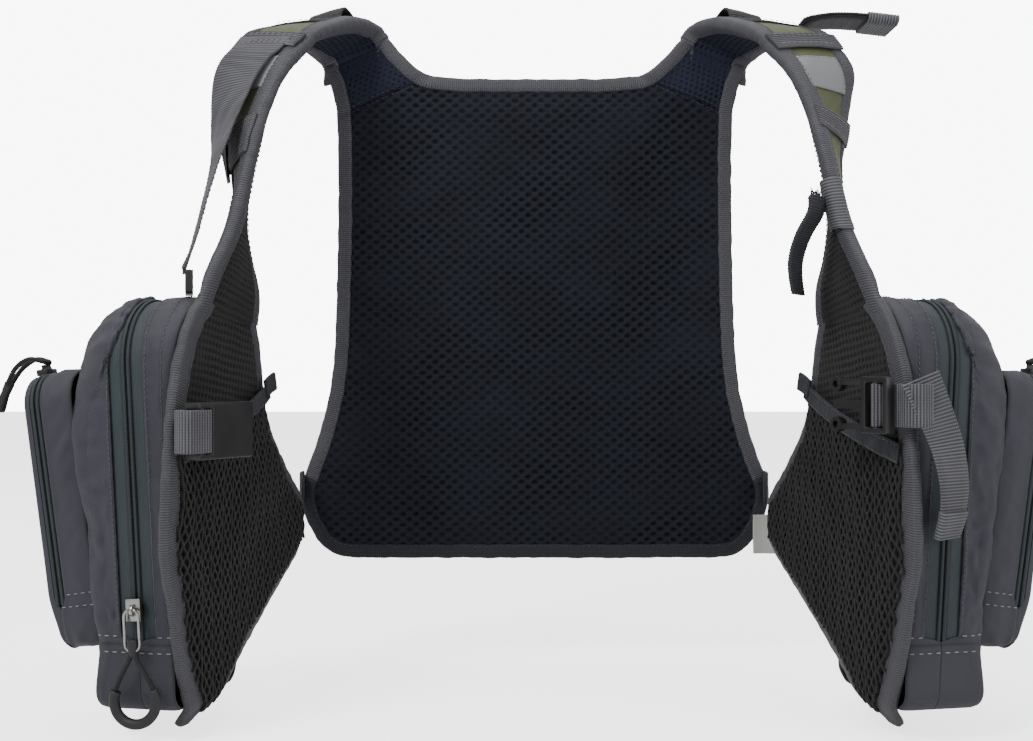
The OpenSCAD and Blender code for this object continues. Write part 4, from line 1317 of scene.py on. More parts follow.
def closed_outline(u0, u1, h0, h1, low, high, spacing):
    """Rounded rectangle from the middle of its base, running forwards and up; and inward normals."""
    points = [((u0 + u1) / 2, h0)]
    corners = [(u1 - low, h0 + low, low, -90), (u1 - high, h1 - high, high, 0),
               (u0 + high, h1 - high, high, 90), (u0 + low, h0 + low, low, 180)]
    for cu, ch, r, start in corners:
        for a in np.radians(np.linspace(start, start + 90, 40)):
            points.append((cu + r * math.cos(a), ch + r * math.sin(a)))
    path = resample(points, spacing, closed=True)
    return path, left_normals(path, closed=True)


def pouch_face(h):
    """How far out the pouch's outer face is at a height."""
    return mix(BASE_OUT, FULL_OUT, np.clip((h - BASE_H) / (FULL_H - BASE_H), 0, 1))


def pocket_face(b):
    """The same for a small pocket, measured from the pouch's face."""
    return mix(POCKET_DEEP - 5, POCKET_DEEP, smooth(b, 6, 40))


def zip_line(h):
    return 30 + (h - 46) / 18


def onion(path, inward, start, face, radius, centre, counts):
    """Grid of a bag's skin: over the gusset, round the edge and across the face to its centre.
    Gives forwards, outwards and up coordinates, and how far each row is along the skin."""
    ring = path + inward * radius[:, None]
    edge = face(ring[:, 1])
    rows, marks = [], []
    for t in np.linspace(0, 1, counts[0], endpoint=False):
        rows.append((path, mix(start, edge - radius, t)))
        marks.append(t)
    for a in np.linspace(0, math.pi / 2, counts[1], endpoint=False):
        uh = path + inward * (radius * (1 - math.cos(a)))[:, None]
        rows.append((uh, edge - radius * (1 - math.sin(a))))
        marks.append(1 + a / (math.pi / 2))
    for t in np.linspace(0, 1, counts[2]):
        uh = mix(ring, centre, t)
        rows.append((uh, face(uh[:, 1])))
        marks.append(2 + t)
    u = np.stack([r[0][:, 0] for r in rows])
    n = np.stack([r[1] for r in rows])
    h = np.stack([r[0][:, 1] for r in rows])
    return u, n, h, np.array(marks)


def upsample(values, cols, marks_from, marks_to):
    """Smoothly resizes a grid of vectors; columns wrap round."""
    t = np.interp(marks_to, marks_from, np.arange(len(marks_from)))
    tall = curve(values, t)
    ring = np.concatenate([tall[:, -2:], tall, tall[:, :3]], axis=1)
    c = np.linspace(0, values.shape[1], cols, endpoint=False) + 2
    return np.swapaxes(curve(np.swapaxes(ring, 0, 1), c), 0, 1)


def inflate(name, points, pins, pressure, slack):
    """Cloth simulation of a skin whose seams are pinned; gives each point's shift in metres."""
    rows, cols = points.shape[:2]
    obj = add_mesh(name, points, [grid_faces(rows, cols, wrap_cols=True)], MAT["twill_slate"], solid=False)
    if volume(points.reshape(-1, 3), [grid_faces(rows, cols, wrap_cols=True)]) < 0:
        obj.data.flip_normals()
    group = obj.vertex_groups.new(name="seams")
    for index in np.flatnonzero(pins.ravel()):
        group.add([int(index)], 1.0, "REPLACE")
    cloth = obj.modifiers.new("cloth", "CLOTH")
    settings = cloth.settings
    settings.quality = 5
    settings.mass = 0.3
    settings.tension_stiffness = 12
    settings.compression_stiffness = 8
    settings.shear_stiffness = 6
    settings.bending_stiffness = 1.2
    settings.shrink_min = -slack
    settings.use_pressure = True
    settings.uniform_pressure_force = pressure
    settings.effector_weights.gravity = 0
    settings.vertex_group_mass = "seams"
    cloth.collision_settings.use_collision = False
    cloth.point_cache.frame_start, cloth.point_cache.frame_end = 1, 20
    scene = bpy.context.scene
    for number in range(1, 21):
        scene.frame_set(number)
    result = obj.evaluated_get(bpy.context.evaluated_depsgraph_get())
    flat = np.empty(rows * cols * 3, np.float32)
    result.data.vertices.foreach_get("co", flat)
    scene.frame_set(1)
    obj.modifiers.clear()
    mesh = obj.data
    bpy.data.objects.remove(obj)
    bpy.data.meshes.remove(mesh)
    return flat.reshape(rows, cols, 3).astype(float) - points


def capped(shift, limit):
    """Shifts no longer than the limit, eased so that nothing is cut off sharply."""
    size = np.linalg.norm(shift, axis=-1, keepdims=True)
    return shift * (np.tanh(size / limit) * limit / np.maximum(size, 1e-9))


def filling(name, coarse, place, low, still, force, marks, count):
    """Shift that its contents give to a bag's skin, worked out on a coarse copy of the skin.
    The seam, all below low and the rows past the mark still don't move. force is the pressure,
    the cloth's slack and the longest shift in millimetres; count is the fine skin's columns."""
    _, u, n, h, coarse_marks = coarse
    pins = (h < low) | (coarse_marks > still)[:, None]
    pins[0] = True
    pressure, slack, limit = force
    shift = capped(inflate(name, place(u, n, h), pins, pressure, slack), limit * MM)
    return upsample(shift, count, coarse_marks, marks)


def outward_normals(points, side):
    """Normals of a bag skin that wraps round in its columns."""
    padded = np.concatenate([points[:, -2:], points, points[:, :2]], axis=1)
    return grid_normals(padded)[:, 2:-2] * side


def surface_weave(points, start):
    """Distances over a skin along its rings, from one column, and across them."""
    along_ring = np.cumsum(np.linalg.norm(np.diff(points, axis=1, prepend=points[:, :1]), axis=2), axis=1)
    across = np.cumsum(np.linalg.norm(np.diff(points, axis=0, prepend=points[:1]), axis=2), axis=0)
    return np.stack([along_ring - along_ring[:, start:start + 1], 0 * across, across], axis=-1)


def bag_radius(path, face_r, top_r, bottom_r, h1):
    """Rounding of the edge between gusset and face: full at the top, small at the base."""
    r = mix(face_r, top_r, smooth(path[:, 1], h1 - 95, h1 - 8))
    return mix(bottom_r, r, smooth(path[:, 1], 6, 40))


def pouch_folds(side, path, u, n, h, marks):
    """Height of the creases, puckered seam, rolled lip, piping and base fold of a pouch's skin."""
    seed = 100 + 7 * side
    row = marks[:, None]
    run = along(path)[None, :] + 0 * n
    depth = row * 26 + 0 * n
    edge = 1.4 * wobble(run, depth * 1.6, 62, seed, 3) + 0.7 * wobble(run * 1.5, depth, 23, seed + 1, 2)
    face = 1.8 * wobble(u * 1.3, h * 0.8, 58, seed + 3, 3) + 0.8 * wobble(u, h, 24, seed + 4, 2)
    loose = smooth(row, 0, 0.5) * (1 - smooth(row, 2.3, 2.6)) * smooth(h, 26, 60)
    folds = loose * mix(edge, face, smooth(row, 1.1, 1.8))
    pucker = 0.25 * np.sin(run * math.tau / 11 + 2 * wobble(run, 0 * run, 40, seed + 2))
    pucker = pucker * np.exp(-(n - n[0]) / 7.0) * (row < 1) * smooth(h, 40, 60)
    lip = 0.9 * np.exp(-((n - n[0] - 1.4) / 1.3) ** 2) * (row < 1) * smooth(h, 40, 52)
    piping = 0.8 * np.exp(-((row - 1.5) / 0.16) ** 2) * (1 - smooth(h, 150, 200))
    base_fold = 0.9 * (1 - smooth(h, 38.5, 40.5)) * (row < 2.4)
    return folds + pucker + lip + piping + base_fold


def pouch_outer(side):
    """Outer gusset, face and base of a pouch: one skin."""
    nm = NAMES[side]
    centre = lambda path: np.column_stack([154 + 0 * path[:, 0], np.clip(path[:, 1], 48, 172)])

    def skin(spacing, counts):
        path, inward = closed_outline(**POUCH, spacing=spacing)
        gap = mix(0.15, TAPE, smooth(path[:, 1], ZIP_START - 5.6, ZIP_START - 2.6))
        start = zip_line(path[:, 1]) + gap
        radius = bag_radius(path, 11, 36, 5, 247)
        return (path, *onion(path, inward, start, pouch_face, radius, centre(path), counts))

    path, u, n, h, marks = skin(1.55, (22, 14, 34))
    points = on_panel(side, u, n, h)
    place = lambda u, n, h: on_panel(side, u, n, h)
    coarse = skin(5.0, (8, 5, 12))
    points = points + filling("pouch_cloth", coarse, place, 30, 2.35, (2.2, 0.035, 7), marks, len(path))
    normal = outward_normals(points, side)
    points = points + normal * pouch_folds(side, path, u, n, h, marks)[..., None] * MM
    # seam is painted shade along the base band's fold and beside the edge piping; 0.10 below h 39 is the base
    # band's own darker fabric.
    seam = np.exp(-((h - 40.5) / 1.0) ** 2) * 0.8 + np.exp(-((marks[:, None] - 1.66) / 0.05) ** 2) * 0.45
    shade = np.clip(seam + 0.10 * (h < 39), 0, 1)
    weave = surface_weave(points, int(np.argmax(path[:, 1])))
    piece = shell(f"pouch_outer_cloth_{nm}", points, 1.3 * MM, MAT["twill_slate"], weave, shade,
                  flip=side, wrap=True)
    blend = lid_blend(side)
    finish(piece, blend=blend, replaces=[f"pouch_lid_{nm}"])
    pouch_seams(side, path, marks, points, normal, blend)


def lid_blend(side):
    nm = NAMES[side]
    return (f"panel_{nm}", f"pouch_lid_{nm}", (0, 0, BASE_Z + 20 * MM), (0, 0, BASE_Z + 50 * MM))


BASE_STITCH = dict(length=3.4 * MM, gap=2.2 * MM, width=0.8 * MM)


def base_rows(path, points, normal):
    """Rows of stitches above and below the base band's fold, at both ends of a pouch."""
    half = len(path) // 2
    rows = []
    for height in (35.5, 45.5):
        for start in (0, half):
            k = start + int(np.argmin(np.abs(path[start:start + half, 1] - height)))
            rows.append((points[:, k] + normal[:, k] * 0.25 * MM, normal[:, k]))
    return rows


def pouch_seams(side, path, marks, points, normal, blend):
    """Topstitching beside the zip and two dashed rows over the base band, outer half."""
    nm = NAMES[side]
    above = path[:, 1] > ZIP_START + 4
    rows = [(points[2][above] + normal[2][above] * 0.2 * MM, normal[2][above])]
    sew(f"pouch_topstitch_outer_{nm}", rows, "thread_grey", blend=blend, length=2.2 * MM)
    gusset = marks < 1.55
    rows = base_rows(path, points[gusset], normal[gusset])
    sew(f"pouch_base_stitch_outer_{nm}", rows, "thread_light", blend=blend, **BASE_STITCH)


def pouch_inner(side):
    """Gusset between the panel and the zip, and the base under it."""
    nm, body = NAMES[side], f"panel_{NAMES[side]}"
    path, inward = closed_outline(**POUCH, spacing=1.55)
    gap = mix(0.15, TAPE, smooth(path[:, 1], ZIP_START - 5.6, ZIP_START - 2.6))
    stop = zip_line(path[:, 1]) - gap
    t = np.linspace(0, 1, 22)[:, None]
    n = mix(POUCH_IN - 1.0, stop[None, :], t)
    u, h = path[:, 0][None, :] + 0 * n, path[:, 1][None, :] + 0 * n
    run = along(path)[None, :] + 0 * n
    out = -inward[None, :, :] + np.zeros((22, 1, 1))
    bulge = 1.6 * np.sin(math.pi * t) * smooth(h, 30, 70)
    folds = 0.9 * wobble(run, n * 1.4, 40, 140 + side, 3) * np.sin(math.pi * t) * smooth(h, 30, 70)
    pucker = 0.25 * np.sin(run * math.tau / 10 + 2 * wobble(run, 0 * run, 40, 150 + side))
    pucker = pucker * np.exp(-(stop[None, :] - n) / 6.0) * smooth(h, 40, 60)
    lip = 0.9 * np.exp(-((stop[None, :] - n - 1.4) / 1.3) ** 2) * smooth(h, 40, 52)
    tuck = -2.0 * np.exp(-(n - n[0]) / 2.0)
    band_fold = 0.9 * (1 - smooth(h, 38.5, 40.5))
    lift = bulge + folds + pucker + lip + tuck + band_fold
    points = on_panel(side, u + out[..., 0] * lift, n, h + out[..., 1] * lift)
    # Painted shade along the base band's fold, where the gusset tucks in at the panel, and along the sewn
    # line across the gusset; 0.10 below h 39 is the base band's own darker fabric.
    shade = np.clip(0.8 * np.exp(-((h - 40.5) / 1.0) ** 2) + 0.10 * (h < 39) + 0.5 * (n < n[0] + 1.2), 0, 1)
    shade = np.clip(shade + 0.35 * np.exp(-((t - 0.42) / 0.03) ** 2) * (h > 48), 0, 1)
    weave = surface_weave(points, int(np.argmax(path[:, 1])))
    piece = shell(f"pouch_inner_cloth_{nm}", points, 1.3 * MM, MAT["twill_slate"], weave, shade,
                  flip=side, wrap=True)
    finish(piece, body, [f"pouch_body_{nm}"])
    normal = outward_normals(points, side)
    above = path[:, 1] > ZIP_START + 4
    rows = [(points[-3][above] + normal[-3][above] * 0.2 * MM, normal[-3][above])]
    sew(f"pouch_topstitch_inner_{nm}", rows, "thread_grey", body, length=2.2 * MM)
    rows = [(points[8][above] + normal[8][above] * 0.2 * MM, normal[8][above])]
    sew(f"pouch_seam_stitch_inner_{nm}", rows, "thread_grey", body, length=2.6 * MM)
    rows = base_rows(path, points, normal)
    sew(f"pouch_base_stitch_inner_{nm}", rows, "thread_light", body, **BASE_STITCH)


def zip_half(name, side, path, inward, middle, width, sign, place, body=None, blend=None, replaces=(),
             recess=0.9):
    """Tape and coil on one side of a zip. middle is the depth of the zip's middle line on the
    path, sign says to which side this half lies and place lifts the result to the world."""
    t = np.linspace(0.18, width + 1.4, 26)[:, None]
    n = middle[None, :] + sign * t
    low = -recess - 0.25 * (t < 3.4) + 0.06 * np.sin(t * math.tau / 1.15)
    u = path[:, 0][None, :] - inward[:, 0][None, :] * low
    h = path[:, 1][None, :] - inward[:, 1][None, :] * low
    run = along(path)
    weave = np.stack(np.broadcast_arrays(run[None, :], t, 0.0), axis=-1) * MM
    # Painted shade in the zip's middle, under the folded cloth edge and just beyond the coil.
    shade = 0.85 * np.exp(-(t / 0.9) ** 2) + 0.75 * smooth(t, width - 1.6, width + 0.3) + 0 * n
    shade = shade + 0.35 * np.exp(-((t - 3.7) / 0.5) ** 2)
    flip = side * (-1 if sign < 0 else 1)
    tape = shell(f"{name}_tape", place(u, n, h), 0.7 * MM, MAT["zip_tape"], weave,
                 np.clip(shade, 0, 1), flip=flip)
    finish(tape, body, replaces, blend)
    coil = zip_coil(f"{name}_coil", path, inward, middle, sign, place, recess)
    finish(coil, body, (), blend)


def zip_coil(name, path, inward, middle, sign, place, recess):
    """Coil of one zip half: a rope whose ribs stand for the teeth."""
    run = along(path)
    fine = resample(path, 0.42)
    at = np.linspace(0, 1, len(fine))
    inn = interpolated(at, run / run[-1], inward)
    mid = np.interp(at, run / run[-1], middle)
    rib = 0.5 + 0.5 * np.cos(along(fine) * math.tau / 1.35)
    angle = np.linspace(0, math.tau, 9, endpoint=False)
    radius = (0.72 + 0.30 * rib)[:, None]
    across = np.cos(angle)[None, :] * radius * 1.35
    up = np.sin(angle)[None, :] * radius
    n = mid[:, None] + sign * (1.75 + across)
    lift = -recess + 0.45 + up
    u = fine[:, 0][:, None] - inn[:, 0][:, None] * lift
    h = fine[:, 1][:, None] - inn[:, 1][:, None] * lift
    weave = np.stack(np.broadcast_arrays(along(fine)[:, None], across, 0.0), axis=-1) * MM
    # Painted shade between the coil's teeth.
    shade = 0.55 * (1 - rib)[:, None] + 0 * across
    return sweep(name, place(u, n, h), MAT["zip_tape"], weave, shade)


def pouch_zips(side):
    nm = NAMES[side]
    path, inward = closed_outline(**POUCH, spacing=1.5)
    above = path[:, 1] > ZIP_START - 6.5
    path, inward = path[above], inward[above]
    place = lambda u, n, h: on_panel(side, u, n, h)
    middle = zip_line(path[:, 1])
    zip_half(f"pouch_zip_inner_{nm}", side, path, inward, middle, TAPE, -1, place, f"panel_{nm}",
             replaces=[f"pouch_zip_{nm}"])
    zip_half(f"pouch_zip_outer_{nm}", side, path, inward, middle, TAPE, 1, place, blend=lid_blend(side),
             replaces=[f"lid_zip_{nm}"])


# ---------------------------------------------------------------- small outer pockets
def on_lid(side, u, a, b):
    """World points from the pouch face's own coordinates: forwards, out of the face and up it."""
    c, s = math.cos(TILT), math.sin(TILT)
    return on_panel(side, u, BASE_OUT + a * c + b * s, BASE_H - a * s + b * c)


def cover_blend(side):
    nm = NAMES[side]
    return (f"pouch_lid_{nm}", f"pocket_cover_{nm}", (0, 0, BASE_Z + 50 * MM), (0, 0, BASE_Z + 62 * MM))


def pocket_skins(side):
    nm = NAMES[side]
    tape = 3.6

    def skin(spacing, counts):
        path, inward = closed_outline(**POCKET, spacing=spacing)
        gap = mix(0.1, tape, smooth(path[:, 1], COVER_LOW, COVER_LOW + 8))
        start = COVER_DEEP + gap
        radius = mix(3.0, 4.0, smooth(path[:, 1], 20, 60))
        centre = np.column_stack([154 + 0 * path[:, 0], np.clip(path[:, 1], 42, 135)])
        return (path, *onion(path, inward, start, pocket_face, radius, centre, counts))

    path, u, a, b, marks = skin(1.5, (6, 9, 44))
    points = on_lid(side, u, a, b)
    place = lambda u, a, b: on_lid(side, u, a, b)
    coarse = skin(5.0, (3, 3, 13))
    points = points + filling("pocket_cloth", coarse, place, 14, 9, (2.0, 0.02, 5), marks, len(path))
    normal = outward_normals(points, side)
    loose = smooth(marks, 1.6, 2.2)[:, None]
    folds = 1.1 * wobble(u, b, 70, 170 + side, 3) + 0.5 * wobble(u * 1.4, b, 26, 172 + side, 2)
    piping = 0.7 * np.exp(-((marks[:, None] - 1.5) / 0.25) ** 2)
    points = points + normal * (loose * folds + piping)[..., None] * MM
    weave = np.stack([u, a, b], axis=-1) * MM
    # Painted shade in a line just beyond the edge piping.
    shade = 0.6 * np.exp(-((marks[:, None] - 1.8) / 0.08) ** 2) + 0 * a
    cover = shell(f"pocket_cover_cloth_{nm}", points, 1.2 * MM, MAT["twill_slate"], weave, shade,
                  flip=side, wrap=True)
    finish(cover, blend=cover_blend(side), replaces=[f"pocket_cover_{nm}"])
    pocket_seams(side, path, marks, u, b, points, normal)
    pocket_gusset(side, tape)


def pocket_seams(side, path, marks, u, b, points, normal):
    """Two dashed rows across a pocket's base and one round its cover."""
    nm = NAMES[side]
    rows = []
    for height in (29, 36):
        face = np.abs(b - height) + 1e3 * (marks[:, None] < 2)
        line = [np.argmin(face ** 2 + (u - value) ** 2) for value in np.linspace(122, 186, 60)]
        flat, flat_n = points.reshape(-1, 3)[line], normal.reshape(-1, 3)[line]
        rows.append((flat + flat_n * 0.3 * MM, flat_n))
    sew(f"pocket_base_stitch_{nm}", rows, "thread_light", blend=cover_blend(side), length=3.2 * MM,
        gap=1.8 * MM, width=0.7 * MM)
    ring = int(np.argmin(np.abs(marks - 2.06)))
    keep = path[:, 1] > COVER_LOW + 10
    rows = [(points[ring][keep] + normal[ring][keep] * 0.25 * MM, normal[ring][keep])]
    sew(f"pocket_cover_stitch_{nm}", rows, "thread_grey", blend=cover_blend(side))


def pocket_gusset(side, tape):
    nm, body = NAMES[side], f"pouch_lid_{NAMES[side]}"
    path, inward = closed_outline(**POCKET, spacing=1.5)
    gap = mix(0.1, tape, smooth(path[:, 1], COVER_LOW, COVER_LOW + 8))
    stop = COVER_DEEP - gap
    t = np.linspace(0, 1, 16)[:, None]
    a = mix(-1.5, stop[None, :], t)
    run = along(path)[None, :] + 0 * a
    lift = 1.2 * np.sin(math.pi * t) + 0.8 * wobble(run, a * 1.5, 30, 180 + side, 3) * np.sin(math.pi * t)
    lift = lift + 0.7 * np.exp(-((stop[None, :] - a - 1.2) / 1.1) ** 2)
    u = path[:, 0][None, :] - inward[:, 0][None, :] * lift
    b = path[:, 1][None, :] - inward[:, 1][None, :] * lift
    points = on_lid(side, u, a, b)
    weave = np.stack([u, a, b], axis=-1) * MM
    # Painted shade where the gusset meets the pouch's face.
    shade = 0.5 * (a < 1.0) + 0 * a
    gusset = shell(f"pocket_gusset_cloth_{nm}", points, 1.2 * MM, MAT["twill_slate"], weave, shade,
                   flip=side, wrap=True)
    finish(gusset, body, [f"pocket_body_{nm}"])
    normal = outward_normals(points, side)
    rows = []
    for height in (COVER_LOW + 2, COVER_LOW + 9):
        k = int(np.argmin(np.abs(path[:len(path) // 2, 1] - height)))
        rows.append((points[:, k] + normal[:, k] * 0.25 * MM, normal[:, k]))
    sew(f"pocket_gusset_stitch_{nm}", rows, "thread_light", body, gap=1.8 * MM, width=0.7 * MM)
    above = path[:, 1] > COVER_LOW + 2
    path, inward = path[above], inward[above]
    middle = np.full(len(path), float(COVER_DEEP))
    place = lambda u, n, h: on_lid(side, u, n, h)
    zip_half(f"pocket_zip_inner_{nm}", side, path, inward, middle, tape, -1, place, body, recess=0.5)
    zip_half(f"pocket_zip_outer_{nm}", side, path, inward, middle, tape, 1, place,
             blend=cover_blend(side), recess=0.5)


def build_pouches():
    for side in NAMES:
        pouch_outer(side)
        pouch_inner(side)
        pouch_zips(side)
        pocket_skins(side)


# ---------------------------------------------------------------- zip pulls and buckle
def zip_frame(side):
    """Origin and axes of a parked main slider: away from the tape, across the zip and up it."""
    forward, outward = SIDE_FRAMES[side][1:]
    u = 201.6 if side < 0 else 106.4
    away = forward * (1 if side < 0 else -1)
    lean = math.atan(1 / 18)
    up = unit(np.array([0, 0, 1.0]) * math.cos(lean) + outward * math.sin(lean))
    across = unit(np.cross(up, away))
    return on_panel(side, u, zip_line(62), 62.0), away, across, up


def build_pulls():
    for side in NAMES:
        nm = NAMES[side]
        slider = rebuilt(f"main_slider_{nm}", f"main_slider_piece_{nm}", "metal_nickel", 0.8)
        finish(slider, f"main_slider_{nm}")
        wire = rebuilt(f"main_pull_{nm}", f"main_pull_piece_{nm}", "metal_nickel", 0.2, 2)
        finish(wire, f"main_pull_{nm}")
        main_cord(side)
        body = rebuilt(f"pocket_slider_{nm}", f"pocket_slider_piece_{nm}", "plastic_black", 0.8)
        finish(body, f"pocket_slider_{nm}")
        pocket_pull(side)


def main_cord(side):
    """Moulded knot in the wire frame, two cords and a thick rubber grip."""
    nm = NAMES[side]
    origin, away, across, up = zip_frame(side)
    origin = origin + away * 6.7 * MM

    def at(points):
        p = np.asarray(points, float) * MM
        return origin + p[:, :1] * away + p[:, 1:2] * across + p[:, 2:3] * up

    path = [(0, 0, -16.5), (0, 0, -19), (0, 0, -22.5), (0, 0, -27)]
    knot = curve(np.array(path, float), np.linspace(0, 3, 24))
    size = np.interp(np.linspace(0, 1, 24), [0, 0.1, 0.45, 0.85, 1], [1.4, 3.0, 3.3, 2.4, 1.6]) * MM
    tube(f"main_pull_knot_{nm}", at(knot), size, "rubber_black", f"main_pull_{nm}", [f"main_cord_{nm}"],
         side=away, facets=16, flat=0.85)
    for m in (-1, 1):
        path = [(0, m * 1.2, -25), (0.4, m * 3.2, -30), (0.8, m * 8, -38), (0.3, m * 12, -46)]
        line = curve(np.array(path, float), np.linspace(0, 3, 40))
        tube(f"main_pull_cord_{nm}_{'a' if m < 0 else 'b'}", at(line), 1.45 * MM, "cord_black",
             f"main_pull_{nm}", side=away)
    angle = np.radians(np.linspace(152, 388, 60))
    ring = np.column_stack([0 * angle + 0.3, 13.2 * np.cos(angle), -53 + 13.2 * np.sin(angle)])
    tube(f"main_pull_grip_{nm}", at(ring), 3.1 * MM, "rubber_black", f"main_pull_{nm}", side=away,
         facets=20)


def pocket_pull(side):
    """Doubled cord with a moulded tip, hanging over the pocket's top edge."""
    nm, body = NAMES[side], f"pocket_pull_{NAMES[side]}"
    place = lambda p: on_lid(side, 166 + p[:, 0], 27.4 + p[:, 1], 174.4 + p[:, 2])
    for m in (-1, 1):
        path = [(m * 0.6, -2, 4.6), (m * 3, 0, 6), (m * 4.5, 9, 8.5), (m * 4, 19, 4), (m * 2.2, 27, -5)]
        line = curve(np.array(path, float), np.linspace(0, 4, 50))
        name = f"pocket_pull_cord_{nm}_{'a' if m < 0 else 'b'}"
        tube(name, place(line), 1.6 * MM, "cord_black", body, [f"pocket_pull_{nm}"])
    path = [(0, 26, -3.5), (0, 29, -8), (0, 32, -13), (0, 36, -21)]
    tip = curve(np.array(path, float), np.linspace(0, 3, 30))
    size = np.interp(np.linspace(0, 1, 30), [0, 0.08, 0.5, 0.92, 1], [2.0, 3.2, 2.8, 3.3, 2.4]) * MM
    tube(f"pocket_pull_tip_{nm}", place(tip), size, "rubber_black", body, facets=16)


def buckle_frame(side, h):
    """Origin and axes of a buckle half: towards the mouth or prongs, and out of its face."""
    forward, outward = SIDE_FRAMES[side][1:]
    a = math.radians(200)
    along_x = forward * math.cos(a) + outward * math.sin(a)
    face = -forward * math.sin(a) + outward * math.cos(a)
    return on_panel(side, 227.0, -9.0, float(h)), along_x, face


def female_webbing():
    """Webbing folded round the female half's bar, a U when seen from above."""
    origin, along_x, face = buckle_frame(-1, 168)
    length, half_gap = 18.5, 6.6
    turn = np.linspace(0.1, math.pi - 0.1, 20)
    x = np.concatenate([np.linspace(length, 3, 30), 3 - 3 * np.sin(turn), np.linspace(3, length, 30)])
    y = half_gap * np.concatenate([np.ones(30), np.cos(turn), -np.ones(30)])
    path = origin + x[:, None] * along_x * MM + y[:, None] * face * MM
    up = np.tile([0.0, 0.0, 1.0], (80, 1))
    out = unit(np.cross(tangents(path), up))
    band("female_webbing_piece", path, up, out, 25 * MM, 1.4 * MM, "webbing_grey", "buckle_female",
         ["female_webbing"], ribs=0.2 * MM)


def build_buckle():
    female = rebuilt("buckle_female", "buckle_female_piece", "plastic_black", 1.3, 4)
    finish(female, "buckle_female")
    female_webbing()
    male = rebuilt("buckle_male", "buckle_male_piece", "plastic_black", 1.0, 4)
    finish(male, "buckle_male")
    for part in ("prong_upper", "prong_lower"):
        finish(rebuilt(part, f"{part}_piece", "plastic_black", 0.9, 3), part)
    male_webbing()
    buckle_tail()


def male_webbing():
    """Webbing round the male half's bar and back to the panel's edge."""
    origin, along_x, face = buckle_frame(1, 183)
    line = [(-9, -15), (-8, -6), (0, -3), (9, -4.8), (14.5, 0), (18.7, 4.4), (22.5, 0), (20, -4.6),
            (10, -5.2)]
    path = curve(np.array(line), np.linspace(0, 8, 90))
    points = origin + path[:, :1] * along_x * MM + path[:, 1:] * face * MM
    up = np.tile([0.0, 0.0, 1.0], (90, 1))
    out = unit(np.cross(tangents(points), up))
    band("male_webbing_piece", points, up, out, 25 * MM, 1.4 * MM, "webbing_grey", "buckle_male",
         ribs=0.2 * MM)


def buckle_tail():
    """Ribbed webbing end that twists down outside the panel's front edge."""
    path = np.array([(226, 3, 199), (229, 10, 180), (229, 18, 160), (226, 24, 140), (220, 27, 122),
                     (214, 26, 106)], float)
    t = np.linspace(0, 5, 150)
    p = curve(path, t)
    turn = np.radians(8 + 5 * t)
    forward, outward = SIDE_FRAMES[1][1:]
    points = on_panel(1, p[:, 0], p[:, 1], p[:, 2])
    across = -np.sin(turn)[:, None] * forward + np.cos(turn)[:, None] * outward
    across[:, 2] += 0.35 * (1 - smooth(t, 0, 3))
    across = unit(across)
    out = unit(np.cross(across, tangents(points)))
    band("buckle_tail_piece", points, across, out, 26 * MM, 1.6 * MM, "webbing_grey", "panel_right",
         ["buckle_tail"], ribs=0.25 * MM, pitch=2.1 * MM)
    tip, tip_across, tip_out = points[-30:], across[-30:], out[-30:]
    band("buckle_tail_fold", tip - tip_out * 1.9 * MM, tip_across, tip_out, 26.4 * MM, 4.6 * MM,
         "webbing_grey", "panel_right", ribs=0.25 * MM)


# ---------------------------------------------------------------- stage
def area_light(name, place, target, size, power):
    data = bpy.data.lights.new(name, "AREA")
    data.energy, data.shape, data.size = power, "DISK", size
    light = bpy.data.objects.new(name, data)
    light.location = place
    light.rotation_euler = (Vector(target) - Vector(place)).to_track_quat("-Z", "Y").to_euler()
    bpy.context.scene.collection.objects.link(light)
    return light


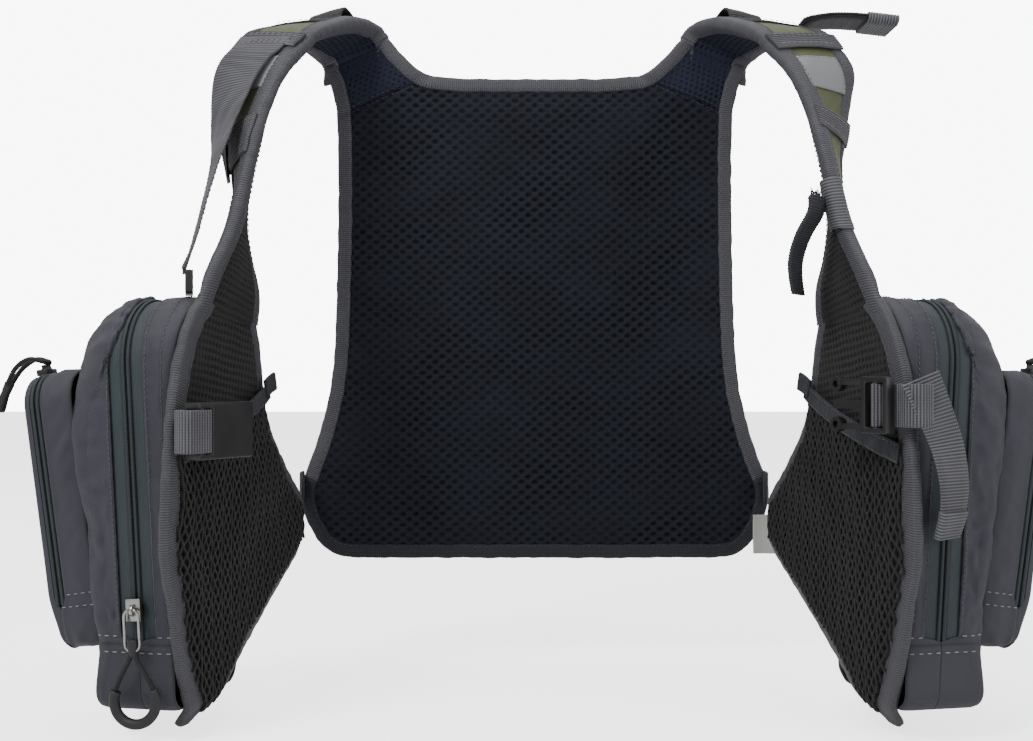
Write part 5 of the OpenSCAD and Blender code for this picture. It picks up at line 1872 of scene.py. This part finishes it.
def white_room():
    """Soft white surroundings that look brighter to the camera than they light the vest."""
    world = bpy.data.worlds.new("white_room")
    world.use_nodes = True
    tree = world.node_tree
    background = tree.nodes["Background"]
    background.inputs["Color"].default_value = (1, 1, 1, 1)
    path = tree.nodes.new("ShaderNodeLightPath")
    strength = tree.nodes.new("ShaderNodeMath")
    strength.operation = "MULTIPLY_ADD"
    strength.inputs[1].default_value = 8.0
    strength.inputs[2].default_value = 0.75
    tree.links.new(path.outputs["Is Camera Ray"], strength.inputs[0])
    tree.links.new(strength.outputs[0], background.inputs["Strength"])
    bpy.context.scene.world = world


def build_stage():
    """Pale floor, white surroundings, soft studio light and a camera level with the vest."""
    floor_z = CAD_BOX[0][2] - 4 * MM
    size = 6.0
    corners = np.array([(x * size, y * size, floor_z) for x, y in ((-1, -1), (1, -1), (1, 1), (-1, 1))])
    paper = Nodes("pale_floor")
    grain = paper.noise(6, 2, vector=paper.node("ShaderNodeNewGeometry").outputs["Position"])
    paper.set(color=paper.ramp(grain, [(0.2, (0.86, 0.86, 0.86)), (0.8, (0.9, 0.9, 0.9))]), rough=0.9)
    seen = paper.node("ShaderNodeLightPath").outputs["Is Camera Ray"]
    paper.shader.inputs["Emission Color"].default_value = (1, 1, 1, 1)
    paper.link(paper.math("MULTIPLY", seen, 2.2), paper.shader.inputs["Emission Strength"])
    floor = add_mesh("floor", corners, [np.array([[0, 1, 2, 3]])], paper.material, solid=False)
    white_room()
    lights = [area_light("key", (-1.0, -1.3, 1.4), (0, 0, 0), 0.7, 34),
              area_light("fill", (1.5, -1.2, 0.5), (0, 0, 0), 1.0, 11),
              area_light("top", (0, 0.1, 1.8), (0, -0.1, 0), 1.4, 20)]
    camera_data = bpy.data.cameras.new("camera")
    camera_data.lens, camera_data.sensor_width = 45, 36
    camera = bpy.data.objects.new("camera", camera_data)
    camera.location = (-0.014, -0.975, -0.037)
    camera.rotation_euler = (math.radians(90), 0, 0)
    bpy.context.scene.collection.objects.link(camera)
    bpy.context.scene.camera = camera


build_back()
build_straps()
build_panels()
build_pouches()
build_pulls()
build_buckle()
build_stage()
